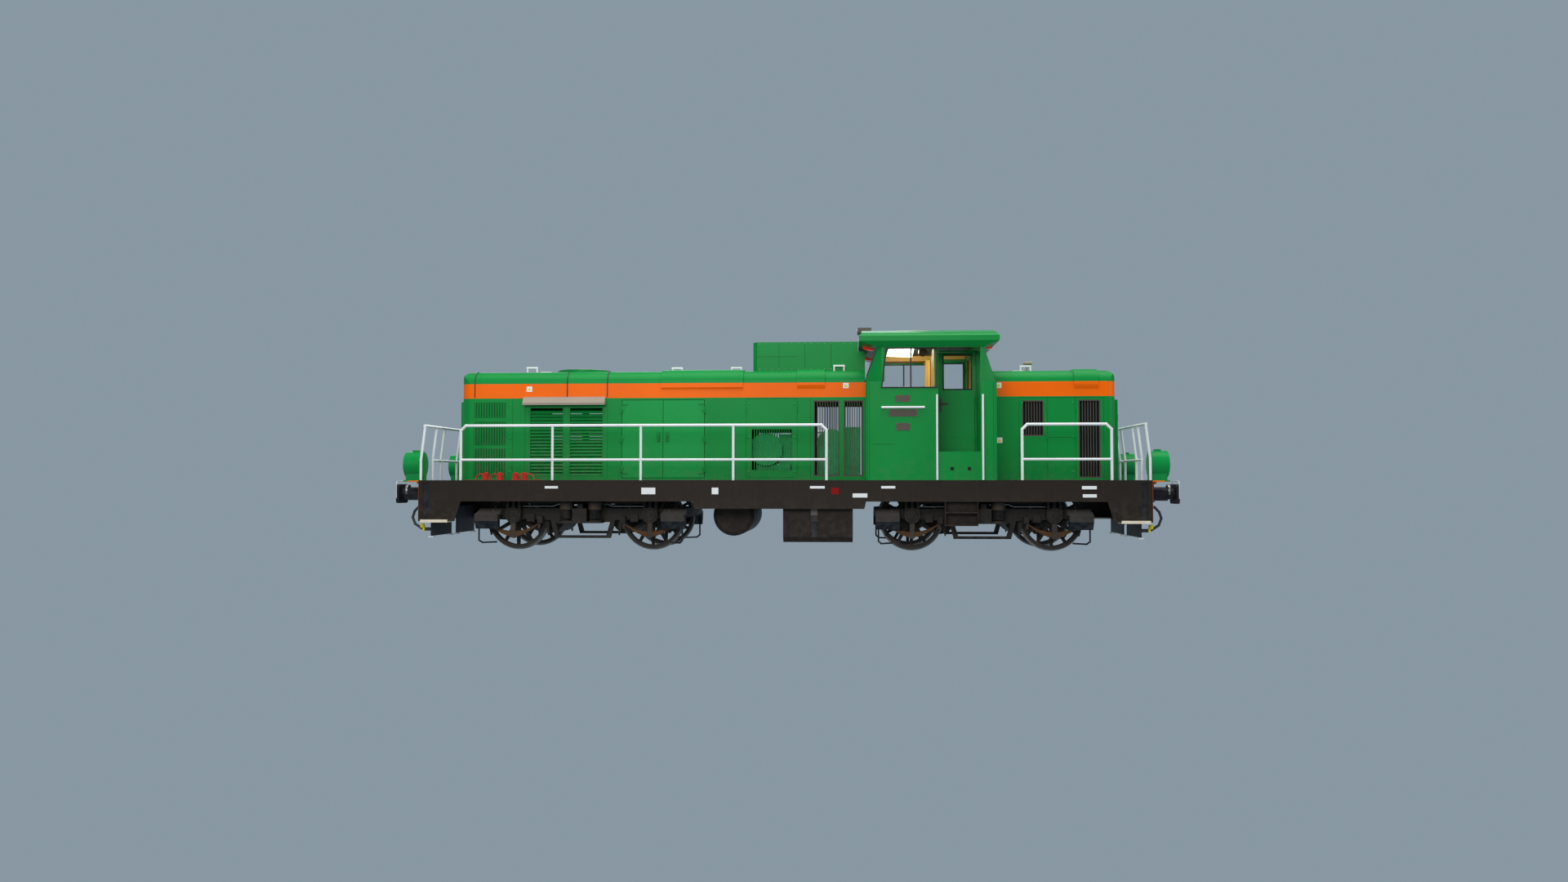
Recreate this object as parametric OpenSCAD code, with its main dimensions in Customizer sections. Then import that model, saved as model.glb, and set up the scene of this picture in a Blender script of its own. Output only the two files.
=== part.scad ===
// Four-axle diesel shunting locomotive: a long hood, a cab and a short hood on one frame.
// Lengths are in millimetres. +X points to the short hood's end and +Z is up.
// Y = 0 is the centreline and Z = 0 is the lowest point of the wheel flanges.
// The right side is -Y and the left side is +Y. The front end is +X.

/* [Frame] */
// Length of the frame between the outer faces of its end beams
frame_l = 12940; // [12800:20:13300]
// Width of the frame over its side sills
frame_w = 3000; // [2960:10:3100]
// Height of the top of the deck
deck_z = 1270; // [1260:5:1320]
// Thickness of the deck plate
deck_t = 30; // [20:5:40]
// Thickness of the side sills and end beams
sill_t = 40; // [30:5:50]
// Height of the sill's lower edge over the bogies
sill_z = 894; // [880:2:920]
// Height of the sill's lower edge between the bogies
mid_sill_z = 766; // [700:2:800]
// Length of the deeper middle part of the sill
mid_sill_l = 3000; // [2700:20:3100]
// Height of the lower edge of the end beams and corner aprons
apron_z = 540; // [520:5:600]
// Length of a corner apron along the sill, at its lower edge
apron_l = 650; // [560:10:700]

/* [Bogies] */
// Distance from mid-length to a bogie's pivot
pivot_x = 3600; // [3560:10:3640]
// Distance between a bogie's axles
wheelbase = 2500; // [2420:10:2560]
// Diameter of the wheel tread
wheel_d = 1100; // [1000:10:1140]
// Height of the flange over the tread
flange_h = 30; // [26:1:34]
// Distance between the backs of a pair of wheels
back_to_back = 1360; // [1340:2:1400]
// Width of a tyre
tyre_w = 135; // [120:5:140]
// Diameter of the axle between the wheels
axle_d = 170; // [150:5:190]
// Diameter of the axle's journals
journal_d = 130; // [110:5:140]
// Number of spokes in a wheel
spokes = 12; // [9:1:14]
// Diameter of the bogie's pivot pin
pivot_d = 260; // [200:10:300]
// Thickness of a bogie side frame
side_t = 80; // [60:5:90]
// Distance between the outer faces of the side frames
side_w = 2020; // [1990:10:2060]
// Gap round journals and pivot pins
shaft_gap = 0.5; // [0.3:0.1:0.8]

/* [Hoods] */
// Width of both hoods
hood_w = 1600; // [1540:20:1640]
// Length of the long hood
long_hood_l = 7470; // [7380:5:7500]
// Height of the long hood over the deck
long_hood_h = 2010; // [1960:10:2060]
// Length of the short hood
short_hood_l = 2205; // [2140:5:2240]
// Height of the short hood over the deck
short_hood_h = 1988; // [1940:4:2040]
// Thickness of the hood panels and doors
panel_t = 40; // [30:2:50]
// Radius of a hood's long top edges
edge_r = 230; // [180:10:260]
// Radius of a hood's end top edge
end_r = 200; // [160:10:240]
// Radius of a hood's upright corners
corner_r = 180; // [120:10:200]
// Height of the box that stands on the long hood
intake_h = 541; // [400:1:560]

/* [Cab] */
// Place of the cab's rear wall
cab_x = 1525; // [1500:5:1560]
// Length of the cab
cab_l = 2290; // [2260:10:2330]
// Height where the cab's ends begin to lean inward
waist_z = 3005; // [2990:5:3040]
// Height of the top of the cab walls
eaves_z = 3613; // [3605:1:3660]
// How far the end walls lean inward at the eaves
lean = 215; // [180:5:240]
// Thickness of the cab walls
wall_t = 60; // [50:5:70]
// Height of the cab floor
floor_z = 1770; // [1720:5:1800]
// Width of the roof over its eaves
roof_w = 3170; // [3120:10:3200]
// Height of the roof's crown
roof_z = 4030; // [4000:5:4100]
// Depth of the door recesses
recess_d = 700; // [670:5:720]

/* [Doors] */
// Gap round a door leaf
door_gap = 8; // [6:1:10]
// Width of the cab door
cab_door_w = 652; // [620:2:656]
// Width of an engine room door
engine_door_w = 752; // [700:2:756]
// Radius of a hinge's knuckles
knuckle_r = 12; // [10:1:13]

/* [Railings] */
// Diameter of the railing tubes
rail_d = 50; // [40:2:54]
// Height of the top rail over the deck
rail_h = 975; // [900:5:1000]
// Height of the middle rail over the deck
mid_rail_h = 364; // [330:2:480]

/* [Buffers] */
// Distance from the end beam to the buffer's face
buffer_l = 565; // [550:5:660]
// Distance from the centreline to a buffer
buffer_y = 875; // [865:1:885]
// Height of the buffers
buffer_z = 1025; // [1000:5:1060]

/* [Hidden] */
$fn = 64;
// Small overlap that makes two solids of one piece join
weld = 1;
// Length by which a cut passes a face
past = 5;
// Gap between faces that lie on each other and belong to different bodies
seat_gap = 0.3;

frame_x = frame_l / 2;
sill_y = frame_w / 2;
deck_low = deck_z - deck_t;
axle_x = wheelbase / 2;
tread_r = wheel_d / 2;
flange_r = tread_r + flange_h;
axle_z = flange_r;
wheel_y = back_to_back / 2;
side_y = side_w / 2;
hood_y = hood_w / 2;
long_top = deck_z + long_hood_h;
short_top = deck_z + short_hood_h;
cab_end = cab_x + cab_l;
cab_mid = cab_x + cab_l / 2;
cab_y = frame_w / 2;
door_y = cab_y - recess_d;
rail_y = sill_y - 30;

green = [0.08, 0.50, 0.24];
light_green = [0.20, 0.77, 0.42];
dark = [0.17, 0.15, 0.13];
white = [0.95, 0.95, 0.93];
brown_grey = [0.36, 0.33, 0.29];
visor_grey = [0.62, 0.57, 0.50];
rust_brown = [0.36, 0.23, 0.12];
red = [0.85, 0.12, 0.10];
cream = [0.95, 0.78, 0.45];

// A box between two limits on each axis.
module block(x, y, z) {
    translate([x[0], y[0], z[0]])
        cube([x[1] - x[0], y[1] - y[0], z[1] - z[0]]);
}

// An outline drawn in X and Z, made solid between two values of Y.
module across(y0, y1) {
    translate([0, y1, 0])
        rotate([90, 0, 0])
            linear_extrude(y1 - y0)
                children();
}

// An outline drawn in Y and Z, made solid between two values of X.
module along(x0, x1) {
    translate([x0, 0, 0])
        rotate([90, 0, 90])
            linear_extrude(x1 - x0)
                children();
}

module both_sides() {
    children();
    mirror([0, 1, 0])
        children();
}

module both_ends() {
    children();
    mirror([1, 0, 0])
        children();
}

// A straight round bar from point a to point b.
module bar(a, b, d) {
    run = b - a;
    length = norm(run);
    tilt = acos(run[2] / length);
    turn = atan2(run[1], run[0]);
    translate(a)
        rotate([0, tilt, turn])
            cylinder(h = length, d = d);
}

// Round bars through a list of points, with a slightly larger ball at every inner one.
module bent_bar(points, d) {
    last = len(points) - 1;
    for (i = [0 : last - 1])
        bar(points[i], points[i + 1], d);
    for (i = [1 : last - 1])
        translate(points[i])
            sphere(d = d + 4);
}

// A round bar across the locomotive, between two values of Y.
module cross_bar(x, y0, y1, z, d) {
    bar([x, y0, z], [x, y1, z], d);
}

// ---------------------------------------------------------------- frame

// The sill seen from the side: deep between the bogies and at the corners.
apron_slope = 116;
mid_slope = 30;
sill_outline = [
    [-frame_x, deck_z], [frame_x, deck_z],
    [frame_x, apron_z], [frame_x - apron_l, apron_z],
    [frame_x - apron_l - apron_slope, sill_z],
    [mid_sill_l / 2 + mid_slope, sill_z], [mid_sill_l / 2, mid_sill_z],
    [-mid_sill_l / 2, mid_sill_z], [-mid_sill_l / 2 - mid_slope, sill_z],
    [-frame_x + apron_l + apron_slope, sill_z],
    [-frame_x + apron_l, apron_z], [-frame_x, apron_z]];
// The upright groove in the sill near each corner
groove = [85, 185];
groove_depth = 15;
bolster_half = 250;
bolster_z = sill_z + 6;
pin_low_z = 620;

module underframe() {
    under = deck_low - seat_gap;
    inner = sill_y - sill_t - seat_gap;
    beam_in = frame_x - sill_t - seat_gap;
    cross_y = [430 + seat_gap, inner];
    bolster_x = [pivot_x - bolster_half, pivot_x + bolster_half];
    color(dark) {
        block([-frame_x, frame_x], [-sill_y, sill_y], [deck_low, deck_z]);
        difference() {
            both_sides()
                across(-sill_y, -sill_y + sill_t)
                    intersection() {
                        polygon(sill_outline);
                        translate([-frame_x, 0])
                            square([frame_l, under]);
                    }
            both_sides()
                block([-frame_x - past, frame_x + past], [sill_y - sill_t - past, sill_y + past],
                    [sill_z, sill_z + seat_gap]);
            both_sides()
                both_ends()
                    block([frame_x - groove[1], frame_x - groove[0]],
                        [sill_y - groove_depth, sill_y + past],
                        [apron_z + 32, deck_low - 12]);
        }
        both_ends() {
            block([frame_x - sill_t, frame_x], [-inner, inner], [apron_z, under]);
            block(bolster_x, [-inner, inner], [bolster_z, under]);
            translate([pivot_x, 0, pin_low_z])
                cylinder(h = bolster_z - seat_gap - pin_low_z, d = pivot_d);
            both_sides() {
                block([bolster_x[1] + seat_gap, beam_in], [350, 430], [bolster_z, under]);
                block([1240, 1360], cross_y, [1060, under]);
                block([5700, 5800], cross_y, [1060, under]);
            }
        }
        both_sides()
            difference() {
                block([-bolster_x[0] + seat_gap, bolster_x[0] - seat_gap], [350, 430],
                    [bolster_z, under]);
                block([reservoir_x - 420, reservoir_x + 420], [300, 500], [0, reservoir_top]);
            }
    }
}

// One buffer, pointing along +X from the face of the end beam.
buffer_head_w = 460;
buffer_head_h = 347;
buffer_head_t = 55;
buffer_case_d = 244;
buffer_case_l = 400;
module buffer() {
    block([0, 25], [-180, 180], [-180, 180]);
    rotate([0, 90, 0])
        cylinder(h = 60, d = buffer_case_d + 50);
    rotate([0, 90, 0])
        cylinder(h = buffer_case_l, d = buffer_case_d);
    rotate([0, 90, 0])
        cylinder(h = buffer_l - 20, d = buffer_case_d - 50);
    corner = 60;
    side = buffer_head_w / 2 - corner;
    rise = buffer_head_h / 2 - corner;
    translate([buffer_l - buffer_head_t, 0, 0]) {
        block([0, buffer_head_t], [-side, side], [-rise - corner, rise + corner]);
        block([0, buffer_head_t], [-side - corner, side + corner], [-rise, rise]);
        for (y = [-side, side], z = [-rise, rise])
            translate([0, y, z])
                rotate([0, 90, 0])
                    cylinder(h = buffer_head_t, r = corner);
    }
}

module buffers() {
    color(dark)
        both_ends()
            both_sides()
                translate([frame_x, buffer_y, buffer_z])
                    buffer();
}

// A draw hook on its square shank, with the mouth open upward.
module draw_hooks() {
    color(dark)
        both_ends()
            translate([frame_x, 0, buffer_z]) {
                block([0, 30], [-130, 130], [-110, 110]);
                block([0, 180], [-35, 35], [-40, 40]);
                difference() {
                    across(-30, 30)
                        translate([240, 10])
                            circle(r = 100);
                    across(-40, 40)
                        translate([240, 30])
                            circle(r = 48);
                    across(-40, 40)
                        translate([240, 10])
                            square([70, 110]);
                }
            }
}

// Two plough blades at each end, with their brackets and low tips.
blade_x = frame_x - 150;
blade_t = 25;
blade_z = [260, 780];
blade_y = [150, 1200];
tip_z = 235;
module ploughs() {
    color(dark)
        both_ends()
            both_sides() {
                block([blade_x, blade_x + blade_t], blade_y, blade_z);
                for (y = [220, 700, 1120])
                    block([blade_x + blade_t - weld, frame_x - sill_t], [y, y + 30], [560, 740]);
                for (y = [blade_y[0], blade_y[1] - 70])
                    block([blade_x - 30, blade_x + 70], [y, y + 70], [tip_z, blade_z[0] + weld]);
            }
}

step_l = 495;
module end_steps() {
    color(dark)
        both_ends()
            both_sides() {
                block([frame_x - 40 - step_l, frame_x - 40], [1200, sill_y + 12],
                    [apron_z - 24, apron_z]);
                block([frame_x - 40 - step_l, frame_x - 40], [sill_y, sill_y + 12],
                    [apron_z - weld, apron_z + 27]);
            }
}

// Steps under a cab door, hung from the sill.
cab_step_x = [2900, 3480];
cab_step_z = 470;
module cab_steps() {
    plate = 15;
    between = [cab_step_x[0] + plate + seat_gap, cab_step_x[1] - plate - seat_gap];
    color(dark)
        both_sides() {
            for (x = [cab_step_x[0], cab_step_x[1] - plate])
                block([x, x + plate], [1345, sill_y], [cab_step_z, sill_z]);
            block(between, [1345, 1345 + plate], [cab_step_z, sill_z]);
            for (z = [cab_step_z, 690])
                block(between, [1345 + plate + seat_gap, sill_y], [z, z + 25]);
        }
}

// Brake hoses, each held by a cock on the beam and a parked coupling on the plough.
hose_d = 45;
hose_y = 1160;
hose_out = [30, 110, 190, 225, 180, 60, -20];
hose_z = [800, 795, 710, 600, 480, 400, 385];
module air_hoses() {
    route = [for (i = [0 : len(hose_out) - 1]) [frame_x + hose_out[i], hose_y, hose_z[i]]];
    coupling_x = frame_x + hose_out[len(hose_out) - 1];
    color(dark)
        both_ends()
            both_sides() {
                bent_bar(route, hose_d);
                translate([frame_x, hose_y, hose_z[0]])
                    rotate([0, 90, 0])
                        cylinder(h = 60, d = 80);
                translate([blade_x + blade_t, hose_y, hose_z[6]])
                    rotate([0, 90, 0])
                        cylinder(h = coupling_x + 20 - blade_x - blade_t, d = 62);
            }
}

// ---------------------------------------------------------------- hoods

// The outline of a hood seen from its end, with rounded shoulders.
module hood_arch(half, low, top, r) {
    translate([-half, low])
        square([2 * half, top - low - r]);
    translate([-half + r, low])
        square([2 * half - 2 * r, top - low]);
    for (y = [-half + r, half - r])
        translate([y, top - r])
            circle(r = r);
}

// The outline of a hood seen from its side, rounded at the far top corner.
module hood_side(l, low, top, r) {
    translate([0, low])
        square([l, top - low - r]);
    translate([0, low])
        square([l - r, top - low]);
    translate([l - r, top - r])
        circle(r = r);
}

// The outline of a hood seen from above, rounded at both far corners.
module hood_plan(l, half, r) {
    translate([0, -half])
        square([l - r, 2 * half]);
    translate([0, -half + r])
        square([l, 2 * half - 2 * r]);
    for (y = [-half + r, half - r])
        translate([l - r, y])
            circle(r = r);
}

module hood_form(l, half, low, top, inset) {
    intersection() {
        along(0, l)
            hood_arch(half, low, top, edge_r - inset);
        across(-half, half)
            hood_side(l, low, top, end_r - inset);
        translate([0, 0, low])
            linear_extrude(top - low)
                hood_plan(l, half, corner_r - inset);
    }
}

// A hollow hood that starts at the cab and is open below.
module hood_shell(l, top) {
    difference() {
        hood_form(l, hood_y, deck_z, top, 0);
        translate([-past, 0, 0])
            hood_form(l + past - panel_t, hood_y - panel_t, deck_z - past, top - panel_t, panel_t);
    }
}

// A raised hatch that wraps over the shoulders of a hood.
hatch_lip = 27;
intake_hatch_x = [287, 793];
module raised_hatch(x0, x1, low, top) {
    difference() {
        along(x0, x1)
            hood_arch(hood_y + hatch_lip, low, top + hatch_lip, edge_r + hatch_lip);
        along(x0 - past, x1 + past)
            hood_arch(hood_y - weld, low - past, top - weld, edge_r - weld);
    }
}

// Openings in the hood sides, as [first x, last x, lowest z, highest z].
shutter_bays = [[-4678, -3991, 1314, 2640], [-3937, -3254, 1314, 2640]];
long_grille_bays = [[-563, 212, 1432, 2222], [585, 1060, 1343, 2723], [1134, 1490, 1343, 2723]];
short_grille_bays = [[4338, 4731, 2061, 2710], [5341, 5732, 1312, 2720]];
// The engine room opening is as wide as its two leaves and the gaps round them
engine_mid_x = -2170;
engine_bay = [engine_mid_x - engine_door_w - 1.5 * door_gap,
    engine_mid_x + engine_door_w + 1.5 * door_gap, 1310, 2745];
fan_x = -3800;
fan_r = 400;

module bay_cut(bay) {
    block([bay[0], bay[1]], [hood_y - panel_t - past, hood_y + 2 * past], [bay[2], bay[3]]);
}

// Hairline joints: the roof lies on the walls, and the end wall stands between them.
roof_joint_z = 2955;
module hood_joints(x) {
    block([-frame_x, frame_x], [-sill_y, sill_y], [roof_joint_z, roof_joint_z + seat_gap]);
    block([x, x + seat_gap], [-sill_y, sill_y], [deck_z - past, roof_joint_z + seat_gap]);
}

module long_hood() {
    color(green)
        difference() {
            union() {
                difference() {
                    translate([cab_x, 0, 0])
                        mirror([1, 0, 0])
                            hood_shell(long_hood_l, long_top);
                    both_sides()
                        for (bay = concat(shutter_bays, long_grille_bays, [engine_bay]))
                            bay_cut(bay);
                    translate([fan_x, 0, long_top - 2 * panel_t])
                        cylinder(h = 3 * panel_t, r = fan_r + 40);
                }
                raised_hatch(-2204, -699, 2965, long_top);
                raised_hatch(intake_hatch_x[0], intake_hatch_x[1], 3000, long_top);
                block([cab_x - long_hood_l - 70, cab_x - long_hood_l + weld], [-560, 560],
                    [deck_z, 2730]);
            }
            hood_joints(cab_x - long_hood_l + corner_r);
        }
    color(green)
        both_sides()
            engine_hinges();
}

module short_hood() {
    color(green)
        difference() {
            union() {
                difference() {
                    translate([cab_end, 0, 0])
                        hood_shell(short_hood_l, short_top);
                    both_sides()
                        for (bay = short_grille_bays)
                            bay_cut(bay);
                }
                raised_hatch(5270, 5700, 2990, short_top);
                block([cab_end + short_hood_l - weld, cab_end + short_hood_l + 70],
                    [-560, 560], [deck_z, 2730]);
            }
            hood_joints(cab_end + short_hood_l - corner_r);
        }
}

// The tall housing that stands on the long hood against the cab.
module intake_housing() {
    half = 535;
    chamfer = 80;
    x0 = -541;
    x1 = cab_x - roof_over[0] - 12;
    color(green)
        difference() {
            union() {
                translate([0, 0, long_top])
                    linear_extrude(intake_h)
                        polygon([[x0 + chamfer, -half], [x1, -half], [x1, half],
                            [x0 + chamfer, half], [x0, half - chamfer], [x0, -half + chamfer]]);
                block([x1 - weld, cab_x], [-half, half], [long_top, eaves_z + 30]);
            }
            block([intake_hatch_x[0] - seat_gap, intake_hatch_x[1] + seat_gap],
                [-half - past, half + past],
                [long_top - past, long_top + hatch_lip + seat_gap]);
        }
}

// Lifting loops: [x, half distance across, height of the roof below].
loops = [[-4690, 500, long_top], [-2030, 0, long_top + 27], [-900, 0, long_top + 27],
    [1050, 560, long_top], [4450, 500, short_top]];
module lifting_loop(x, y, z) {
    for (dx = [-90, 90])
        bar([x + dx, y, z - 0], [x + dx, y, z + 100], 30);
    translate([x - 105, y - 15, z + 80])
        cube([210, 30, 30]);
}
module lifting_loops() {
    color(white)
        for (loop = loops)
            for (y = loop[1] == 0 ? [0] : [-loop[1], loop[1]])
                lifting_loop(loop[0], y, loop[2]);
}

// The cooling fan: a cowl with its guard on the roof, and the motor below it.
cowl_h = 60;
motor_top = 3150;
module fan_cowl() {
    color(green) {
        difference() {
            translate([fan_x, 0, long_top])
                cylinder(h = cowl_h, r = fan_r + 110);
            translate([fan_x, 0, long_top - past])
                cylinder(h = cowl_h + 2 * past, r = fan_r + 40);
        }
        for (r = [120, 240, 360])
            translate([fan_x, 0, long_top + cowl_h - 15])
                difference() {
                    cylinder(h = 12, r = r + 8);
                    translate([0, 0, -past])
                        cylinder(h = 12 + 2 * past, r = r - 8);
                }
        for (a = [0, 45, 90, 135])
            translate([fan_x, 0, long_top + cowl_h - 12])
                rotate([0, 0, a])
                    translate([-fan_r - 50, -8, 0])
                        cube([2 * fan_r + 100, 16, 10]);
    }
    color(dark) {
        block([fan_x - 60, fan_x + 60], [-hood_y + panel_t, hood_y - panel_t], [2860, 2940]);
        translate([fan_x, 0, 2930])
            cylinder(h = motor_top - 2930, r = 140);
    }
}

module fan_rotor() {
    blade_l = fan_r - 70;
    color("silver")
        translate([fan_x, 0, motor_top + seat_gap]) {
            cylinder(h = 110, r = 90);
            for (i = [0 : 7])
                rotate([0, 0, i * 45])
                    translate([70, 0, 55])
                        rotate([28, 0, 0])
                            translate([0, -70, -6])
                                cube([blade_l, 140, 12]);
        }
}

// A frame with sloping slats that fills each shutter opening.
module shutters() {
    rim = 40;
    pitch = 60;
    color(green)
        both_sides()
            for (bay = shutter_bays) {
                difference() {
                    block([bay[0], bay[1]], [hood_y - panel_t, hood_y], [bay[2], bay[3]]);
                    block([bay[0] + rim, bay[1] - rim], [hood_y - panel_t - past, hood_y + past],
                        [bay[2] + rim, bay[3] - rim]);
                }
                rows = floor((bay[3] - bay[2] - 2 * rim) / pitch);
                for (i = [0 : rows - 1])
                    translate([bay[0] + rim - weld, hood_y, bay[2] + rim + i * pitch])
                        rotate([90, 0, 90])
                            linear_extrude(bay[1] - bay[0] - 2 * rim + 2 * weld)
                                polygon([[-2, 4], [-2, 12], [-panel_t + 2, 56], [-panel_t + 2, 48]]);
            }
}

module shutter_visors() {
    color(visor_grey)
        both_sides()
            along(-4756, -3232)
                polygon([[hood_y, 2807], [hood_y + 60, 2790], [hood_y + 130, 2690],
                    [hood_y + 130, 2650], [hood_y + 118, 2650], [hood_y, 2672]]);
}

// A flat frame with upright bars.
module grille(bay) {
    rim = 24;
    pitch = 44;
    difference() {
        block([bay[0], bay[1]], [hood_y - panel_t + 8, hood_y], [bay[2], bay[3]]);
        block([bay[0] + rim, bay[1] - rim], [hood_y - panel_t, hood_y + past],
            [bay[2] + rim, bay[3] - rim]);
    }
    count = floor((bay[1] - bay[0] - 2 * rim) / pitch);
    step = (bay[1] - bay[0] - 2 * rim) / count;
    for (i = [1 : count - 1])
        translate([bay[0] + rim + i * step - 7, hood_y - 26, bay[2] + rim - weld])
            cube([14, 18, bay[3] - bay[2] - 2 * rim + 2 * weld]);
}

module side_grilles() {
    color(green)
        both_sides()
            for (bay = concat(long_grille_bays, short_grille_bays))
                grille(bay);
}

module engine() {
    color(light_green) {
        block([-3000, -900], [-420, 420], [deck_z, 1500]);
        block([-3000, -900], [-520, 520], [1499, 2350]);
        block([-2850, -1050], [-300, 300], [2349, 2750]);
    }
}

module compressor() {
    color(light_green) {
        block([-480, 150], [-480, 480], [deck_z, 1560]);
        translate([-300, 0, 1840])
            rotate([90, 0, 0])
                translate([0, 0, -560])
                    cylinder(h = 1120, r = 300);
        block([-60, 180], [-420, 420], [1540, 2120]);
    }
    color(brown_grey) {
        block([640, 1440], [-450, 450], [deck_z, 1900]);
        block([1150, 1440], [-450, 450], [1899, 2250]);
        translate([900, 0, 1950])
            rotate([90, 0, 0])
                translate([0, 0, -300])
                    cylinder(h = 600, r = 270);
    }
}

// ---------------------------------------------------------------- doors

knuckle_h = 60;
// Distance from a panel's face to the hinge axis on it
hinge_off = knuckle_r + 2;

// One half of a hinge on an upright axis. side is 1 or -1, where its tab lies.
module knuckle(x, face_y, z, side) {
    axis_y = face_y + hinge_off;
    translate([x, axis_y, z])
        cylinder(h = knuckle_h, r = knuckle_r);
    block([min(x, x + side * 36), max(x, x + side * 36)], [face_y, axis_y], [z, z + knuckle_h]);
}

engine_leaf_z = [engine_bay[2] + door_gap, engine_bay[3] - door_gap];
engine_hinge_z = [1420, 1960, 2500];
// Distance from the middle of the opening to a leaf's hinge axis
engine_axis = engine_door_w + door_gap;

// The hood's halves of the engine door hinges, for the left side.
module engine_hinges() {
    for (end = [-1, 1], z = engine_hinge_z)
        knuckle(engine_mid_x + end * engine_axis, hood_y, z, end);
}

// An engine door leaf on the left side. end is -1 at the rear and 1 at the front.
module engine_leaf(end) {
    axis_x = engine_mid_x + end * engine_axis;
    inner = engine_mid_x + end * door_gap / 2;
    outer = inner + end * engine_door_w;
    block([min(inner, outer), max(inner, outer)], [hood_y - panel_t, hood_y], engine_leaf_z);
    for (z = engine_hinge_z)
        knuckle(axis_x, hood_y, z + knuckle_h + seat_gap, -end);
}

module engine_door_left_rear() {
    color(green)
        engine_leaf(-1);
}
module engine_door_left_front() {
    color(green)
        engine_leaf(1);
}
module engine_door_right_rear() {
    color(green)
        mirror([0, 1, 0])
            engine_leaf(-1);
}
module engine_door_right_front() {
    color(green)
        mirror([0, 1, 0])
            engine_leaf(1);
}

// ---------------------------------------------------------------- cab

recess_x = [cab_x + 1271, cab_x + 2004];
recess_mid = (recess_x[0] + recess_x[1]) / 2;
cab_leaf_x = [recess_mid + 4 - cab_door_w / 2, recess_mid + 4 + cab_door_w / 2];
cab_leaf_z = [floor_z + 20, eaves_z - 33];
cab_axis_x = cab_leaf_x[1] + door_gap / 2;
leaf_t = 45;
cab_hinge_z = [1950, 2640, 3330];
floor_t = 40;

// The cab's outline from above, inset by t and leaning in, with cut corners.
function cab_plan(t, in, cut_x, cut_y) = let (
    x0 = cab_x + t + in, x1 = cab_end - t - in, y = cab_y - t)
    [[x0 + cut_x, -y], [x1 - cut_x, -y], [x1, -y + cut_y], [x1, y - cut_y],
        [x1 - cut_x, y], [x0 + cut_x, y], [x0, y - cut_y], [x0, -y + cut_y]];

// A solid between two outlines with as many points, at two heights.
module frustum(low, high, z0, z1) {
    n = len(low);
    points = concat([for (p = low) [p[0], p[1], z0]], [for (p = high) [p[0], p[1], z1]]);
    sides = [for (i = [0 : n - 1]) [i, n + i, n + (i + 1) % n, (i + 1) % n]];
    polyhedron(points, concat([[for (i = [0 : n - 1]) i]],
        [[for (i = [n - 1 : -1 : 0]) n + i]], sides));
}

corner_cut = 40;
facet_x = 280;
facet_y = 200;
module cab_solid(t, low) {
    top_cut = facet_x - lean;
    translate([0, 0, low])
        linear_extrude(waist_z - low)
            polygon(cab_plan(t, 0, corner_cut, corner_cut));
    frustum(cab_plan(t, 0, facet_x, facet_y), cab_plan(t, lean, top_cut, facet_y * top_cut / facet_x),
        waist_z - weld, eaves_z);
}

// Window outlines, seen from the side.
side_window = [[cab_x + 283, 2896], [cab_x + 1251, 2896], [cab_x + 1251, 3585],
    [cab_x + 362, 3585]];
end_window_y = [860, 1260];
end_window_z = [3070, 3550];
door_window_x = [cab_leaf_x[0] + 95, cab_leaf_x[1] - 52];
door_window_z = [2910, 3535];

module both_cab_ends() {
    children();
    translate([2 * cab_mid, 0, 0])
        mirror([1, 0, 0])
            children();
}

module cab_body() {
    recess_out = recess_x[1] + wall_t;
    side_wall_top = waist_z - 5
        + (cab_end - wall_t - recess_out) * (eaves_z - waist_z) / lean;
    color(green)
        difference() {
            union() {
                difference() {
                    cab_solid(0, deck_z);
                    cab_solid(wall_t, floor_z);
                    translate([0, 0, deck_z - past])
                        linear_extrude(floor_z - floor_t - deck_z + past)
                            polygon(cab_plan(wall_t, 0, corner_cut, corner_cut));
                    block([cab_x + lean + wall_t, cab_end - lean - wall_t],
                        [-cab_y + wall_t, cab_y - wall_t], [eaves_z - past, eaves_z + past]);
                }
                both_sides()
                    block([recess_x[0] - wall_t, recess_x[1] + wall_t],
                        [door_y - wall_t, cab_y - weld], [floor_z - weld, eaves_z]);
            }
            both_sides() {
                block(recess_x, [door_y, cab_y + past], [floor_z, eaves_z + past]);
                block([cab_leaf_x[0] - door_gap, cab_leaf_x[1] + door_gap],
                    [door_y - wall_t - past, door_y + past],
                    [cab_leaf_z[0] - door_gap, cab_leaf_z[1] + door_gap]);
                across(cab_y - wall_t - past, cab_y + past)
                    polygon(side_window);
                both_cab_ends()
                    block([cab_end - lean - wall_t - 20, cab_end + past], end_window_y, end_window_z);
                block([cab_x - past, cab_end + past], [cab_y - wall_t - seat_gap, cab_y - wall_t],
                    [floor_z, eaves_z + past]);
                // Joints round the door wall and over the recess's side wall
                block([recess_x[0] - wall_t - past, recess_out + seat_gap],
                    [door_y, door_y + seat_gap], [floor_z, eaves_z + past]);
                block([recess_out, recess_out + seat_gap],
                    [door_y - wall_t - past, door_y + seat_gap], [floor_z, eaves_z + past]);
                block([recess_x[1] - past, recess_out + seat_gap], [door_y, cab_y - wall_t],
                    [side_wall_top, side_wall_top + seat_gap]);
                block([recess_x[1], cab_end + past],
                    [door_y - wall_t - seat_gap, door_y - wall_t], [floor_z, eaves_z + past]);
            }
            block([cab_x - past, cab_end + past], [-cab_y - past, cab_y + past],
                [floor_z, floor_z + seat_gap]);
        }
    color(green)
        both_sides()
            difference() {
                for (z = cab_hinge_z)
                    knuckle(cab_axis_x, door_y, z, 1);
                block([recess_x[0], recess_out], [door_y - past, door_y + seat_gap],
                    [floor_z, eaves_z]);
            }
}

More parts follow.
